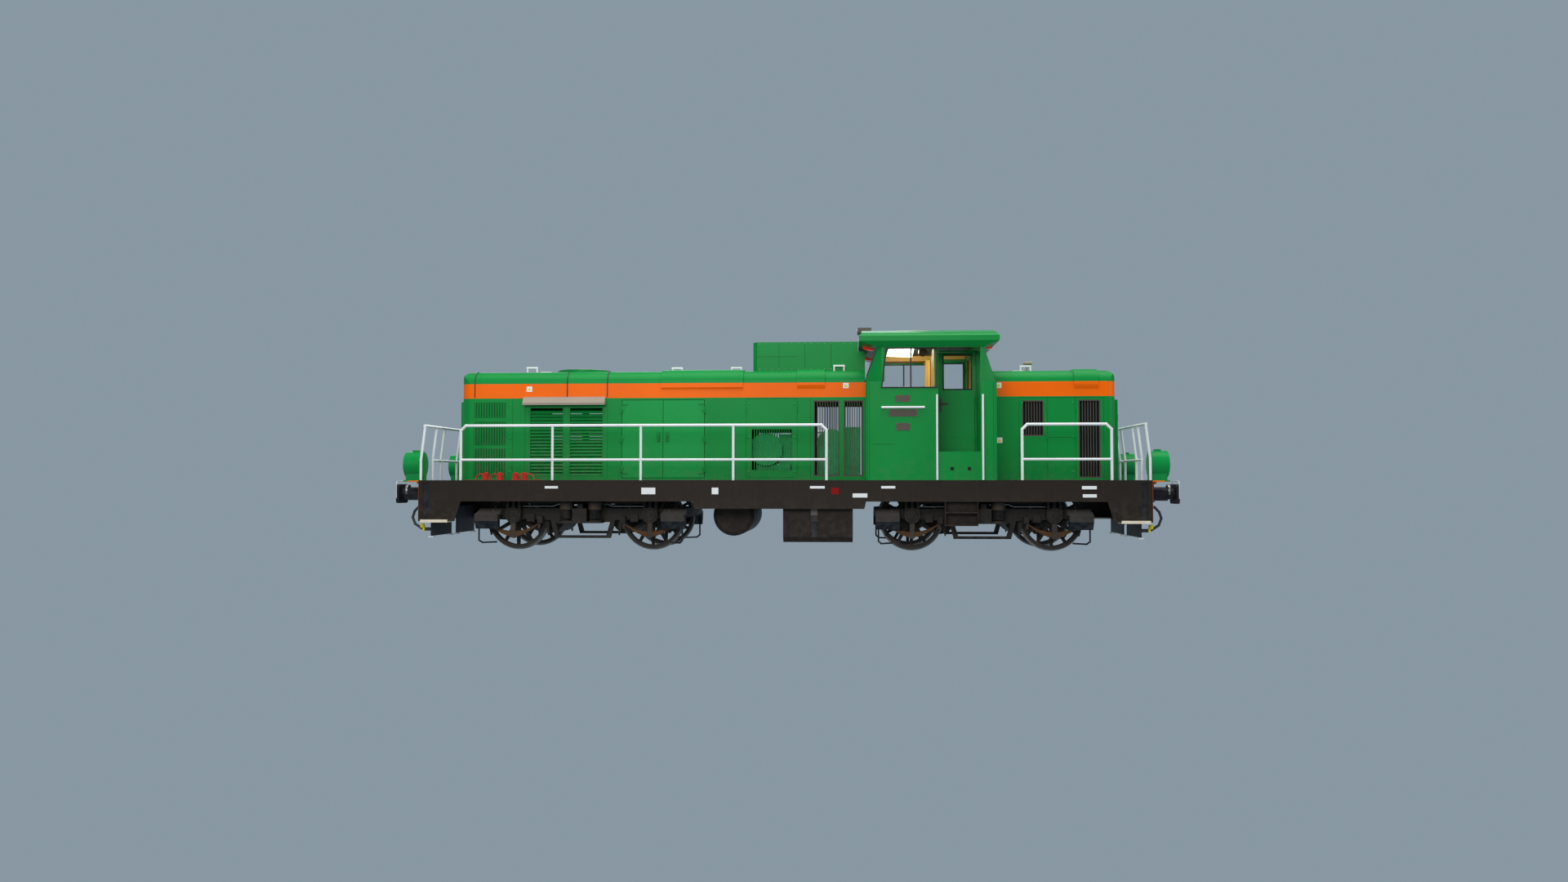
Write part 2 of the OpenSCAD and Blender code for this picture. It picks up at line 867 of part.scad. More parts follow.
// Panes in the middle of the cab walls.
pane_t = 8;
module cab_windows() {
    mid = wall_t / 2;
    slope = lean / (eaves_z - waist_z);
    x_low = cab_end - slope * (end_window_z[0] - waist_z) - mid;
    x_high = cab_end - slope * (end_window_z[1] - waist_z) - mid;
    color("lightblue")
        both_sides() {
            across(cab_y - mid - pane_t / 2, cab_y - mid + pane_t / 2)
                polygon(side_window);
            both_cab_ends()
                across(end_window_y[0], end_window_y[1])
                    polygon([[x_low, end_window_z[0]], [x_low + pane_t, end_window_z[0]],
                        [x_high + pane_t, end_window_z[1]], [x_high, end_window_z[1]]]);
        }
}

// The roof: a cambered top, an upright fascia and a sloping underside.
fascia_z = [3710, 3840];
roof_over = [117, 43];
ceiling_z = 3780;
module cab_roof() {
    half = roof_w / 2;
    bevel = 40;
    chord = half - bevel;
    lip = 8;
    rise = roof_z - fascia_z[1] - lip;
    top = roof_z + past;
    camber_r = (chord * chord + rise * rise) / (2 * rise);
    x0 = cab_x - roof_over[0];
    x1 = cab_end + roof_over[1];
    color(green)
        difference() {
            intersection() {
                across(-half, half)
                    polygon([[cab_x + lean, eaves_z], [cab_end - lean, eaves_z],
                        [x1, fascia_z[0]], [x1, fascia_z[1] - bevel], [x1 - bevel, fascia_z[1]],
                        [x1 - bevel - 30, top], [x0 + bevel + 30, top],
                        [x0 + bevel, fascia_z[1]], [x0, fascia_z[1] - bevel], [x0, fascia_z[0]]]);
                along(x0, x1)
                    polygon([[-cab_y, eaves_z], [cab_y, eaves_z], [half, fascia_z[0]],
                        [half, fascia_z[1] - bevel], [chord, fascia_z[1]], [chord, top],
                        [-chord, top], [-chord, fascia_z[1]], [-half, fascia_z[1] - bevel],
                        [-half, fascia_z[0]]]);
                along(x0, x1)
                    translate([0, roof_z - camber_r])
                        circle(r = camber_r, $fn = 400);
            }
            block([cab_x + lean + wall_t, cab_end - lean - wall_t],
                [-cab_y + wall_t + 60, cab_y - wall_t - 60], [eaves_z - past, ceiling_z]);
            block([x0 - past, x1 + past], [-half - past, half + past],
                [ceiling_z, ceiling_z + seat_gap]);
        }
}

// A cab door leaf for the left side, with its window cut out.
module cab_leaf() {
    color(green) {
        difference() {
            block(cab_leaf_x, [door_y - leaf_t, door_y], cab_leaf_z);
            block(door_window_x, [door_y - leaf_t - past, door_y + past], door_window_z);
        }
        for (z = cab_hinge_z)
            knuckle(cab_axis_x, door_y, z + knuckle_h + seat_gap, -1);
    }
}
module cab_door_left() {
    cab_leaf();
}
module cab_door_right() {
    mirror([0, 1, 0])
        cab_leaf();
}

// The desk along the rear wall of the cab.
module control_desk() {
    back = cab_x + wall_t;
    color(brown_grey)
        across(-1150, 1150)
            polygon([[back, floor_z], [back + 330, floor_z], [back + 330, floor_z + 620],
                [back + 460, floor_z + 760], [back + 420, floor_z + 810],
                [back + 160, floor_z + 950], [back, floor_z + 950]]);
}

// Two seats: pedestals with moulded shells, and pads lying in them.
seat_x = cab_x + 820;
seat_y = 720;
seat_h = 430;
shell_t = 25;
seat_half = 230;
module driver_seats() {
    color(dark)
        both_sides()
            translate([seat_x, seat_y, floor_z]) {
                cylinder(h = 25, r = 180);
                cylinder(h = seat_h, r = 45);
                block([-230, 240], [-seat_half, seat_half], [seat_h - 1, seat_h + shell_t]);
                block([240 - shell_t, 240], [-seat_half, seat_half], [seat_h, seat_h + 560]);
            }
}
module seat_pads() {
    pad = 80;
    base = floor_z + seat_h + shell_t + seat_gap;
    color([0.15, 0.15, 0.16])
        both_sides()
            translate([seat_x, seat_y, base]) {
                block([-225, 240 - shell_t - pad - 10], [-seat_half + 10, seat_half - 10], [0, pad]);
                block([240 - shell_t - pad - seat_gap, 240 - shell_t - seat_gap],
                    [-seat_half + 10, seat_half - 10], [10, 520]);
            }
}

// The headlight housing on the roof, over the long hood.
module roof_headlight() {
    color(brown_grey)
        difference() {
            block([cab_x - 135, cab_x + 124], [-200, 200], [roof_z, roof_z + 90]);
            block([cab_x - 135 - past, cab_x - 115], [-185, 185], [roof_z + 12, roof_z + 80]);
        }
}

// Red lamps under the roof's overhang.
function underside(x) = eaves_z + (fascia_z[0] - eaves_z) * (cab_x + lean - x) / (lean + roof_over[0]);
module tail_lamps() {
    x0 = cab_x - 48;
    x1 = cab_x + 140;
    lamp_y = 850;
    color(red)
        both_sides() {
            across(lamp_y, lamp_y + 110)
                polygon([[x0, underside(x0)], [x0 + 20, underside(x0) - 60],
                    [x1, underside(x1) - 30], [x1, underside(x1)]]);
            front = cab_end + roof_over[1];
            span = lean + roof_over[1];
            drop = (fascia_z[0] - eaves_z) / span;
            across(lamp_y, lamp_y + 110)
                polygon([[front - 60, fascia_z[0] - 60 * drop], [front - 60, fascia_z[0] - 60 * drop - 50],
                    [front - 150, fascia_z[0] - 150 * drop - 30], [front - 150, fascia_z[0] - 150 * drop]]);
        }
}

// ---------------------------------------------------------------- fittings

lamp_y = 1200;
lamp_z = 1550;
lamp_r = 235;
module headlights() {
    color(green)
        both_ends()
            both_sides()
                translate([frame_x, lamp_y, 0]) {
                    difference() {
                        translate([15, 0, lamp_z])
                            rotate([0, 90, 0])
                                cylinder(h = 300, r = lamp_r);
                        translate([285, 0, lamp_z])
                            rotate([0, 90, 0])
                                cylinder(h = 40, r = lamp_r - 45);
                    }
                    block([25, 285], [-170, 170], [deck_z - weld, lamp_z - 100]);
                    block([105, 205], [-60, 60], [lamp_z + lamp_r - 20, 1812]);
                    block([0, 325], [-200, 200], [deck_low, deck_z]);
                    difference() {
                        across(-30, 30)
                            translate([0, deck_low + weld])
                                square_corner(130);
                        across(-40, 40)
                            translate([150, deck_low - 150])
                                circle(r = 120);
                    }
                }
}

// A square that fills the corner below a shelf, r along each side.
module square_corner(r) {
    translate([0, -r])
        square([r, r]);
}

module horn() {
    color(visor_grey) {
        translate([cab_end + 760, 200, short_top])
            cylinder(h = 190, r = 22);
        translate([cab_end + 690, 200, short_top + 215])
            rotate([0, 90, 0])
                cylinder(h = 160, r1 = 24, r2 = 48);
    }
}

// A railing run along the deck edge with cut top corners.
module rail_run(x0, x1, posts) {
    cut = 90;
    top = deck_z + rail_h;
    bent_bar([[x0, rail_y, deck_z], [x0, rail_y, top - cut], [x0 + cut, rail_y, top],
        [x1 - cut, rail_y, top], [x1, rail_y, top - cut], [x1, rail_y, deck_z]], rail_d);
    for (x = posts)
        bar([x, rail_y, deck_z], [x, rail_y, top], rail_d - 4);
    bar([x0, rail_y, deck_z + mid_rail_h], [x1, rail_y, deck_z + mid_rail_h], rail_d - 6);
}
long_rail = [-5713, 837];
short_rail = [4245, 5784];
module side_handrails() {
    color(white)
        both_sides() {
            rail_run(long_rail[0], long_rail[1], [-4050, -2460, -811]);
            rail_run(short_rail[0], short_rail[1], []);
        }
}

end_post_y = [450, 880, rail_y];
module end_handrails() {
    foot_x = frame_x - 30;
    top_x = frame_x - 104;
    top = deck_z + rail_h;
    middle = deck_z + mid_rail_h;
    color(white)
        both_ends() {
            both_sides()
                for (y = end_post_y)
                    bent_bar([[foot_x, y, deck_z], [foot_x, y, middle], [top_x, y, top]],
                        rail_d - 4);
            cross_bar(top_x, -rail_y - rail_d / 2, rail_y + rail_d / 2, top, rail_d);
            cross_bar(foot_x, -end_post_y[1], end_post_y[1], middle, rail_d - 6);
        }
}

// Upright grab rails beside the cab doors.
grab_d = 36;
grab_x = [recess_x[0] - 27, recess_x[1] + 34];
module grab_rails() {
    y = cab_y + 50;
    color(white)
        both_sides()
            for (x = grab_x) {
                bar([x, y, deck_z + 5], [x, y, 2768], grab_d);
                for (z = [deck_z + 60, 2730])
                    bar([x, cab_y, z], [x, y, z], 26);
            }
}

module fuel_tank() {
    half = 1350;
    color(dark)
        along(64, 1294)
            polygon([[-half, bolster_z], [half, bolster_z], [half, 269], [half - 100, 172],
                [-half + 100, 172], [-half, 269]]);
}

reservoir_x = -855;
reservoir_z = 636;
reservoir_r = 370;
reservoir_top = reservoir_z + reservoir_r + 4;
module air_reservoir() {
    color(dark) {
        translate([reservoir_x, 0, reservoir_z])
            rotate([90, 0, 0])
                translate([0, 0, -900])
                    cylinder(h = 1800, r = reservoir_r);
        for (end = [-1, 1])
            translate([reservoir_x, end * 899, reservoir_z])
                rotate([-90 * end, 0, 0])
                    cylinder(h = 50, r1 = reservoir_r, r2 = reservoir_r - 70);
        both_sides()
            block([reservoir_x - 140, reservoir_x + 140], [350, 430],
                [reservoir_z + reservoir_r - 60, reservoir_top]);
    }
}

// Four drag shoes lying on the deck: a sole, a wedge and a handle loop.
module drag_shoe() {
    block([0, 430], [-60, 60], [0, 8]);
    across(-45, 45)
        polygon([[330, 7], [340, 120], [380, 147], [415, 120], [425, 7]]);
    bent_bar([[335, 0, 100], [270, 0, 120], [210, 0, 70], [190, 0, 7]], 16);
}
module drag_shoes() {
    color(red)
        for (shoe = [[-5690, -1300, 0], [-5480, -1120, 0], [-4225, -1300, 1], [-4435, -1120, 1]])
            translate([shoe[0], shoe[1], deck_z])
                rotate([0, 0, 180 * shoe[2]])
                    drag_shoe();
}

// ---------------------------------------------------------------- bogies
// Bogie parts are drawn about the pivot, then moved to their place.

frame_end = 1900;
frame_low = 520;
frame_top = 760;
spring_x = 260;
spring_y = 1180;
spring_r = 110;
spring_low = 533;
spring_top = 768;
cup_top = 886;
transom_half = 260;
journal_end = side_y + 100;
box_r = 140;
box_z = axle_z + 60;
motor_x = 730;
motor_r = 290;

module side_frame() {
    inner = side_y - side_t;
    both_ends() {
        across(inner, side_y)
            polygon([[-weld, frame_low], [frame_end, frame_low + 80], [frame_end, frame_top],
                [-weld, frame_top]]);
        // Axle box with its guide ribs
        translate([axle_x, 0, box_z])
            rotate([-90, 0, 0])
                translate([0, 0, inner - 30])
                    cylinder(h = side_t + 30 + 140, r = box_r);
        block([axle_x - box_r, axle_x + box_r], [inner - 30, side_y + 120], [box_z, frame_top - 20]);
        for (dx = [-105, 0, 105])
            block([axle_x + dx - 22, axle_x + dx + 22], [side_y - 20, side_y + 110],
                [frame_top - 40, 888]);
        // Seats for the leaf spring hangers
        for (dx = [-495, 495])
            block([axle_x + dx - 45, axle_x + dx + 45], [side_y - weld, side_y + 140],
                [hanger_top, frame_low + 100]);
        block([axle_x - 370, axle_x - 230], [side_y - weld, side_y + 50], [frame_low, 660]);
        // Brake hangers
        for (x = [axle_x - 610, axle_x + 450])
            across(inner - 40, inner + weld)
                polygon([[x, frame_low + 110], [x + 120, frame_low + 110], [x + 20, 270],
                    [x, 270]]);
    }
    // Truss below the middle
    across(inner, side_y)
        difference() {
            polygon([[-505, 222], [505, 222], [600, frame_low + 60], [-600, frame_low + 60]]);
            polygon([[-430, 270], [430, 270], [500, frame_low - 10], [-500, frame_low - 10]]);
        }
    // Spring seat and side bearer
    block([-400, 400], [side_y - weld, spring_y + 130], [spring_low - 33, spring_low]);
    block([-130, 130], [side_y - weld, spring_y + 110], [spring_low - weld, 762]);
    block([-50, 50], [side_y + 60, spring_y + 60], [761, 850]);
}

// Brake shoes on both sides of each wheel, and the bars that carry them.
shoe_gap = 6;
module brake_shoes() {
    shoe_y = [wheel_y + 45, wheel_y + 125];
    both_ends()
        both_sides()
            for (side = [-1, 1])
                intersection() {
                    across(shoe_y[0], shoe_y[1])
                        difference() {
                            translate([axle_x, axle_z])
                                circle(r = tread_r + shoe_gap + 50);
                            translate([axle_x, axle_z])
                                circle(r = tread_r + shoe_gap);
                        }
                    block([axle_x + side * 610 - 150, axle_x + side * 610 + 150], shoe_y,
                        [axle_z - 150, axle_z + 190]);
                }
    both_ends()
        both_sides()
            block([axle_x - tread_r - shoe_gap - 75, axle_x - tread_r - shoe_gap - 35],
                [shoe_y[0], side_y - side_t + weld],
                [axle_z + 60, axle_z + 120]);
}

module bogie_frame() {
    inner = side_y - side_t;
    color(dark)
        difference() {
            union() {
                both_sides()
                    side_frame();
                block([-transom_half, transom_half], [-inner + seat_gap, inner - seat_gap],
                    [560, 800]);
                translate([0, 0, 600])
                    cylinder(h = bolster_z - seat_gap - 600, r = pivot_d / 2 + 70);
                both_ends()
                    block([frame_end - 50, frame_end], [-inner + seat_gap, inner - seat_gap],
                        [600, frame_top]);
                brake_shoes();
            }
            translate([0, 0, 500])
                cylinder(h = 500, d = pivot_d + 2 * shaft_gap);
            both_ends()
                both_sides()
                    translate([axle_x, 0, axle_z])
                        rotate([-90, 0, 0])
                            translate([0, 0, inner - 60])
                                cylinder(h = journal_end + 10 - inner + 60, d = journal_d + 2 * shaft_gap);
        }
}

// Leaf springs hung under the axle boxes, with their buckles and hangers.
leaf_half = 495;
leaf_end_z = axle_z - 114;
leaf_mid_z = axle_z - 276;
leaf_pack = 90;
hanger_top = leaf_end_z + 34;
module leaf_springs() {
    sag = leaf_end_z - leaf_mid_z;
    bow_r = (leaf_half * leaf_half + sag * sag) / (2 * sag);
    y0 = side_y + 50;
    y1 = side_y + 140;
    color(rust_brown)
        both_ends()
            both_sides()
                translate([axle_x, 0, 0]) {
                    across(y0, y1)
                        intersection() {
                            translate([-leaf_half, axle_z - 380])
                                square([2 * leaf_half, leaf_end_z - axle_z + 380]);
                            difference() {
                                translate([0, leaf_mid_z + bow_r])
                                    circle(r = bow_r + leaf_pack / 2, $fn = 200);
                                translate([0, leaf_mid_z + bow_r])
                                    circle(r = bow_r - leaf_pack / 2, $fn = 200);
                            }
                        }
                    block([-45, 45], [y0 - 10, y1 + 10],
                        [axle_z - 350, box_z - box_r - seat_gap]);
                    for (x = [-leaf_half, leaf_half - 40])
                        block([x, x + 40], [y0, y1], [leaf_end_z - 80, hanger_top]);
                }
}

// The outer shape of the coil springs, with the cups over them.
module coil_springs() {
    color(dark)
        both_ends()
            both_sides()
                translate([spring_x, spring_y, 0]) {
                    translate([0, 0, spring_low])
                        cylinder(h = spring_top - spring_low + weld, r = spring_r);
                    translate([0, 0, spring_top])
                        cylinder(h = cup_top - spring_top, r = spring_r + 8);
                }
}

// Sandboxes on the frame's ends, with a pipe to each outer wheel side.
sandbox_x = [1480, 1900];
module sandboxes() {
    pipe_x = sandbox_x[1] - 50;
    color(brown_grey)
        both_ends()
            both_sides() {
                along(sandbox_x[0], sandbox_x[1])
                    polygon([[side_y, 750], [side_y + 330, 653], [side_y + 330, 536],
                        [side_y + 230, 396], [side_y + 165, 396], [side_y + 165, 630],
                        [side_y, 630]]);
                bent_bar([[pipe_x, side_y + 200, 400], [pipe_x, side_y + 200, 190],
                    [pipe_x - 50, side_y + 150, 145], [pipe_x - 250, side_y - 60, 145]], 30);
            }
}

// Motors between the wheels, each with a gear case round its axle.
module traction_motors() {
    case_y = [555, 625];
    color(dark)
        both_ends()
            difference() {
                union() {
                    across(-case_y[0] - weld, case_y[0] + weld)
                        translate([motor_x, axle_z])
                            circle(r = motor_r);
                    block([transom_half, motor_x], [-250, -150], [580, 680]);
                    block([transom_half, motor_x], [150, 250], [580, 680]);
                    across(case_y[0], case_y[1])
                        translate([axle_x, axle_z])
                            circle(r = 280);
                    across(case_y[0], case_y[1])
                        translate([motor_x, axle_z - 170])
                            square([axle_x - motor_x, 340]);
                }
                across(case_y[0] - 20, case_y[1] + past)
                    translate([axle_x, axle_z])
                        circle(d = axle_d + 12);
            }
}

module wheel() {
    rim_in = tread_r - 65;
    back = wheel_y;
    rotate([-90, 0, 0])
        difference() {
            wheel_form(rim_in, back);
            cylinder(h = back + 2 * tyre_w, d = axle_d + 2 * seat_gap);
        }
}

module wheel_form(rim_in, back) {
    rotate_extrude()
        polygon([[rim_in, back], [flange_r - 8, back], [flange_r, back + 8],
            [flange_r, back + 24], [tread_r, back + 34], [tread_r - 3, back + tyre_w - 8],
            [tread_r - 11, back + tyre_w], [rim_in, back + tyre_w]]);
    translate([0, 0, back - 5])
        cylinder(h = tyre_w + 20, r = 150);
    for (i = [0 : spokes - 1])
        rotate([0, 0, i * 360 / spokes])
            translate([0, 0, back + 40])
                linear_extrude(60)
                    polygon([[120, -38], [rim_in + 8, -26], [rim_in + 8, 26], [120, 38]]);
}

module wheelset() {
    shoulder = side_y - side_t - 65;
    color(dark) {
        both_sides()
            wheel();
        rotate([90, 0, 0])
            cylinder(h = 2 * shoulder, d = axle_d, center = true);
        rotate([90, 0, 0])
            cylinder(h = 2 * journal_end, d = journal_d, center = true);
    }
}

module at_front_bogie() {
    translate([pivot_x, 0, 0])
        children();
}
module at_rear_bogie() {
    translate([-pivot_x, 0, 0])
        children();
}
module at_axle(x) {
    translate([x, 0, axle_z])
        children();
}

module bogie_frame_front() { at_front_bogie() bogie_frame(); }
module bogie_frame_rear() { at_rear_bogie() bogie_frame(); }
module leaf_springs_front() { at_front_bogie() leaf_springs(); }
module leaf_springs_rear() { at_rear_bogie() leaf_springs(); }
module coil_springs_front() { at_front_bogie() coil_springs(); }
module coil_springs_rear() { at_rear_bogie() coil_springs(); }
module sandboxes_front() { at_front_bogie() sandboxes(); }
module sandboxes_rear() { at_rear_bogie() sandboxes(); }
module traction_motors_front() { at_front_bogie() traction_motors(); }
module traction_motors_rear() { at_rear_bogie() traction_motors(); }
module wheelset_1() { at_axle(-pivot_x - axle_x) wheelset(); }
module wheelset_2() { at_axle(-pivot_x + axle_x) wheelset(); }
module wheelset_3() { at_axle(pivot_x - axle_x) wheelset(); }
module wheelset_4() { at_axle(pivot_x + axle_x) wheelset(); }

underframe();
buffers();
draw_hooks();
ploughs();
end_steps();
cab_steps();
air_hoses();
long_hood();
short_hood();
intake_housing();
lifting_loops();
fan_cowl();
fan_rotor();
shutters();
shutter_visors();
side_grilles();
engine();
compressor();
engine_door_right_rear();
engine_door_right_front();
engine_door_left_rear();
engine_door_left_front();
cab_body();
cab_roof();
cab_windows();
cab_door_right();
cab_door_left();
control_desk();
driver_seats();
seat_pads();
roof_headlight();
tail_lamps();
headlights();
horn();
side_handrails();
end_handrails();
grab_rails();
fuel_tank();
air_reservoir();
drag_shoes();
bogie_frame_front();
bogie_frame_rear();
leaf_springs_front();
leaf_springs_rear();
coil_springs_front();
coil_springs_rear();
sandboxes_front();
sandboxes_rear();
traction_motors_front();
traction_motors_rear();
wheelset_1();
wheelset_2();
wheelset_3();
wheelset_4();
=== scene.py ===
"""Paint, glazing, springs and small fittings of a diesel shunting locomotive.

Lengths are metres in the frame's own axes: +X is the short hood's end, -Y the
right side, Z = 0 the bottom of the wheel flanges.
"""

from math import atan, cos, pi, radians, sin, sqrt, tau

import bmesh
import bpy
from mathutils import Matrix, Vector


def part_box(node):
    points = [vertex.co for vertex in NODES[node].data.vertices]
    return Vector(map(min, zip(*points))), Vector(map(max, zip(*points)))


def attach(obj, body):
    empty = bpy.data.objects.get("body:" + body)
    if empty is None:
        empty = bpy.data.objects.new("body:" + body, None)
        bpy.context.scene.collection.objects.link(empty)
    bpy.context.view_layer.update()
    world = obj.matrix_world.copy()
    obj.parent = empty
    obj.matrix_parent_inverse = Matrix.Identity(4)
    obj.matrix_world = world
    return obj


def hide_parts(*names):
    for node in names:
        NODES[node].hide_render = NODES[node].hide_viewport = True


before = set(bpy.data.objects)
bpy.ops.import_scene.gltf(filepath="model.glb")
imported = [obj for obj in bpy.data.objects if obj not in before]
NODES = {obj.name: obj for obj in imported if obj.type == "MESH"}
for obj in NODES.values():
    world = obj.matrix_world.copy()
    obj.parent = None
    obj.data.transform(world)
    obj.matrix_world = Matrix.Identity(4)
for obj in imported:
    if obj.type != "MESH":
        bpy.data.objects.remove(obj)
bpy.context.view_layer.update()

DECK = 1.270
HOOD_Y = 0.800
SILL_Y = 1.500
CAB_REAR, CAB_FRONT = 1.525, 3.815
PIVOTS = {"bogie_front": 3.6, "bogie_rear": -3.6}
HALF_BASE = 1.25
AXLE_Z = 0.580
BEAM_X = 6.470
BOTH = (-1, 1)


# ------------------------------------------------------------ workshop tools

def clear():
    bpy.ops.object.select_all(action="DESELECT")


def take(piece):
    clear()
    piece.select_set(True)
    bpy.context.view_layer.objects.active = piece


def settle(piece):
    """Puts the piece's place and turn into its mesh."""
    take(piece)
    bpy.ops.object.transform_apply(location=True, rotation=True, scale=True)
    return piece


def shape(piece, kind, **values):
    """Adds one modifier and applies it."""
    step = piece.modifiers.new(kind.title(), kind)
    for name, value in values.items():
        setattr(step, name, value)
    take(piece)
    bpy.ops.object.modifier_apply(modifier=step.name)
    return piece


def pick(piece, wanted):
    """Goes into edit mode with the faces picked for which wanted(face) is true."""
    take(piece)
    bpy.ops.object.mode_set(mode="EDIT")
    bpy.ops.mesh.select_mode(type="FACE")
    bpy.ops.mesh.select_all(action="DESELECT")
    bpy.ops.object.mode_set(mode="OBJECT")
    for face in piece.data.polygons:
        face.select = bool(wanted(face))
    bpy.ops.object.mode_set(mode="EDIT")


def leave():
    bpy.ops.object.mode_set(mode="OBJECT")


def slab(low, high, bevel=0.002, steps=1):
    """A block between two corners with its edges broken."""
    clear()
    centre = [(a + b) / 2 for a, b in zip(low, high)]
    size = [abs(b - a) for a, b in zip(low, high)]
    bpy.ops.mesh.primitive_cube_add(size=1, location=centre, scale=size)
    piece = settle(bpy.context.object)
    if bevel:
        shape(piece, "BEVEL", width=min(bevel, min(size) * 0.45), segments=steps)
    return piece


def pressed(low, high, facing, rim=0.02, depth=0.004, bevel=0.002):
    """A slab whose face that looks along facing has a sunken field in a rim."""
    piece = slab(low, high, 0)
    way = Vector(facing)
    pick(piece, lambda face: face.normal.dot(way) > 0.9)
    bpy.ops.mesh.inset(thickness=rim)
    bpy.ops.mesh.extrude_region_move(
        TRANSFORM_OT_translate={"value": tuple(way * -depth)})
    leave()
    return shape(piece, "BEVEL", width=bevel, segments=1, limit_method="ANGLE")


def rod(start, end, radius, sides=16, bevel=0.0):
    """A round bar between two points."""
    clear()
    start, end = Vector(start), Vector(end)
    run = end - start
    bpy.ops.mesh.primitive_cylinder_add(
        vertices=sides, radius=radius, depth=run.length, location=(start + end) / 2,
        rotation=run.to_track_quat("Z", "Y").to_euler())
    piece = settle(bpy.context.object)
    if bevel:
        shape(piece, "BEVEL", width=bevel, segments=2, limit_method="ANGLE")
    return piece


def pipe(points, radius, sides=8, closed=False):
    """A bent round bar through the points, with the corners as the points give them."""
    clear()
    path = bpy.data.curves.new("pipe", "CURVE")
    path.dimensions = "3D"
    path.bevel_depth = radius
    path.bevel_resolution = max(0, sides // 4 - 1) * 2
    path.use_fill_caps = True
    run = path.splines.new("POLY")
    run.points.add(len(points) - 1)
    for spot, place in zip(run.points, points):
        spot.co = (*place, 1)
    run.use_cyclic_u = closed
    piece = bpy.data.objects.new("pipe", path)
    bpy.context.scene.collection.objects.link(piece)
    take(piece)
    bpy.ops.object.convert(target="MESH")
    piece = bpy.context.object
    bpy.ops.object.shade_smooth_by_angle(angle=radians(40))
    return piece


def turned(outline, centre, axis="X", steps=48):
    """A closed outline of (along, radius) points, spun about a line through centre."""
    clear()
    bpy.ops.mesh.primitive_circle_add(vertices=len(outline))
    piece = bpy.context.object
    along = {"X": Vector((1, 0, 0)), "Y": Vector((0, 1, 0)), "Z": Vector((0, 0, 1))}[axis]
    out = Vector((0, 0, 1)) if axis != "Z" else Vector((1, 0, 0))
    for point, (a, r) in zip(piece.data.vertices, outline):
        point.co = Vector(centre) + along * a + out * r
    take(piece)
    bpy.ops.object.mode_set(mode="EDIT")
    bpy.ops.mesh.select_all(action="SELECT")
    bpy.ops.mesh.spin(steps=steps, angle=tau, center=centre, axis=along)
    bpy.ops.mesh.select_all(action="SELECT")
    bpy.ops.mesh.remove_doubles(threshold=0.00002)
    bpy.ops.mesh.normals_make_consistent(inside=False)
    leave()
    bpy.ops.object.shade_smooth_by_angle(angle=radians(35))
    return piece


def repeat(piece, places):
    """Turns the piece into one mesh with a copy of itself at each place."""
    heap = bmesh.new()
    for place in places:
        twin = piece.data.copy()
        move = place if isinstance(place, Matrix) else Matrix.Translation(place)
        twin.transform(move)
        if move.determinant() < 0:
            twin.flip_normals()
        heap.from_mesh(twin)
        bpy.data.meshes.remove(twin)
    heap.to_mesh(piece.data)
    heap.free()
    piece.data.update()
    return piece


FLIP_Y = Matrix.Diagonal((1, -1, 1, 1))
FLIP_X = Matrix.Diagonal((-1, 1, 1, 1))
STAY = Matrix.Identity(4)
SIDES = (STAY, FLIP_Y)
CORNERS = (STAY, FLIP_X, FLIP_Y, FLIP_X @ FLIP_Y)


def both_sides(piece):
    return repeat(piece, [STAY, FLIP_Y])


def four_ways(piece):
    return repeat(piece, [STAY, FLIP_Y, FLIP_X, FLIP_X @ FLIP_Y])


def joined(pieces):
    if len(pieces) > 1:
        clear()
        for piece in pieces:
            piece.select_set(True)
        bpy.context.view_layer.objects.active = pieces[0]
        bpy.ops.object.join()
    return pieces[0]


def fit(name, pieces, finish, body="main_body", slot="frame_paint"):
    """Joins the pieces, names them, paints them and puts them on a body."""
    piece = joined(pieces if isinstance(pieces, list) else [pieces])
    piece.name = piece.data.name = name
    piece.data.materials.clear()
    piece.data.materials.append(finish)
    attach(piece, body)
    return piece


def fit_pair(name, pieces, finish, **where):
    """Fits the pieces and their mirror images on the other side, as one piece."""
    return fit(name, both_sides(joined(pieces)), finish, **where)


def twin_of(piece):
    """A second piece with the same mesh of its own."""
    twin = piece.copy()
    twin.data = piece.data.copy()
    bpy.context.scene.collection.objects.link(twin)
    return twin


def fit_bogies(groups, slot, places, node=None):
    """Puts a copy of each (name, piece, finish) on both bogies.

    places(middle) gives the copies' places for a pivot at X = middle. The pieces
    stand in for the bogie's own node where one is named.
    """
    for body, middle in PIVOTS.items():
        for name, source, finish in groups:
            piece = fit(name + body, repeat(twin_of(source), places(middle)), finish, body,
                        slot)
            if node:
                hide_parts(node + body.split("_")[1])
    for _, source, _ in groups:
        bpy.data.objects.remove(source)


def about_pivot(flips):
    """Places that mirror a piece, drawn about X = 0, round a bogie's pivot."""
    return lambda middle: [Matrix.Translation((middle, 0, 0)) @ flip for flip in flips]


def paint(nodes, finish):
    for name in nodes:
        NODES[name].data.materials.clear()
        NODES[name].data.materials.append(finish)


# ------------------------------------------------------------ camera and light

def set_camera():
    lens = bpy.data.cameras.new("camera")
    lens.sensor_width = 36
    lens.lens = 1454 / 1920 * 36
    lens.clip_end = 400
    camera = bpy.data.objects.new("camera", lens)
    camera.location = (1.33, -22.36, 1.241)
    camera.rotation_euler = (radians(90 + 1.97), 0, radians(3.40))
    bpy.context.scene.collection.objects.link(camera)
    bpy.context.scene.camera = camera


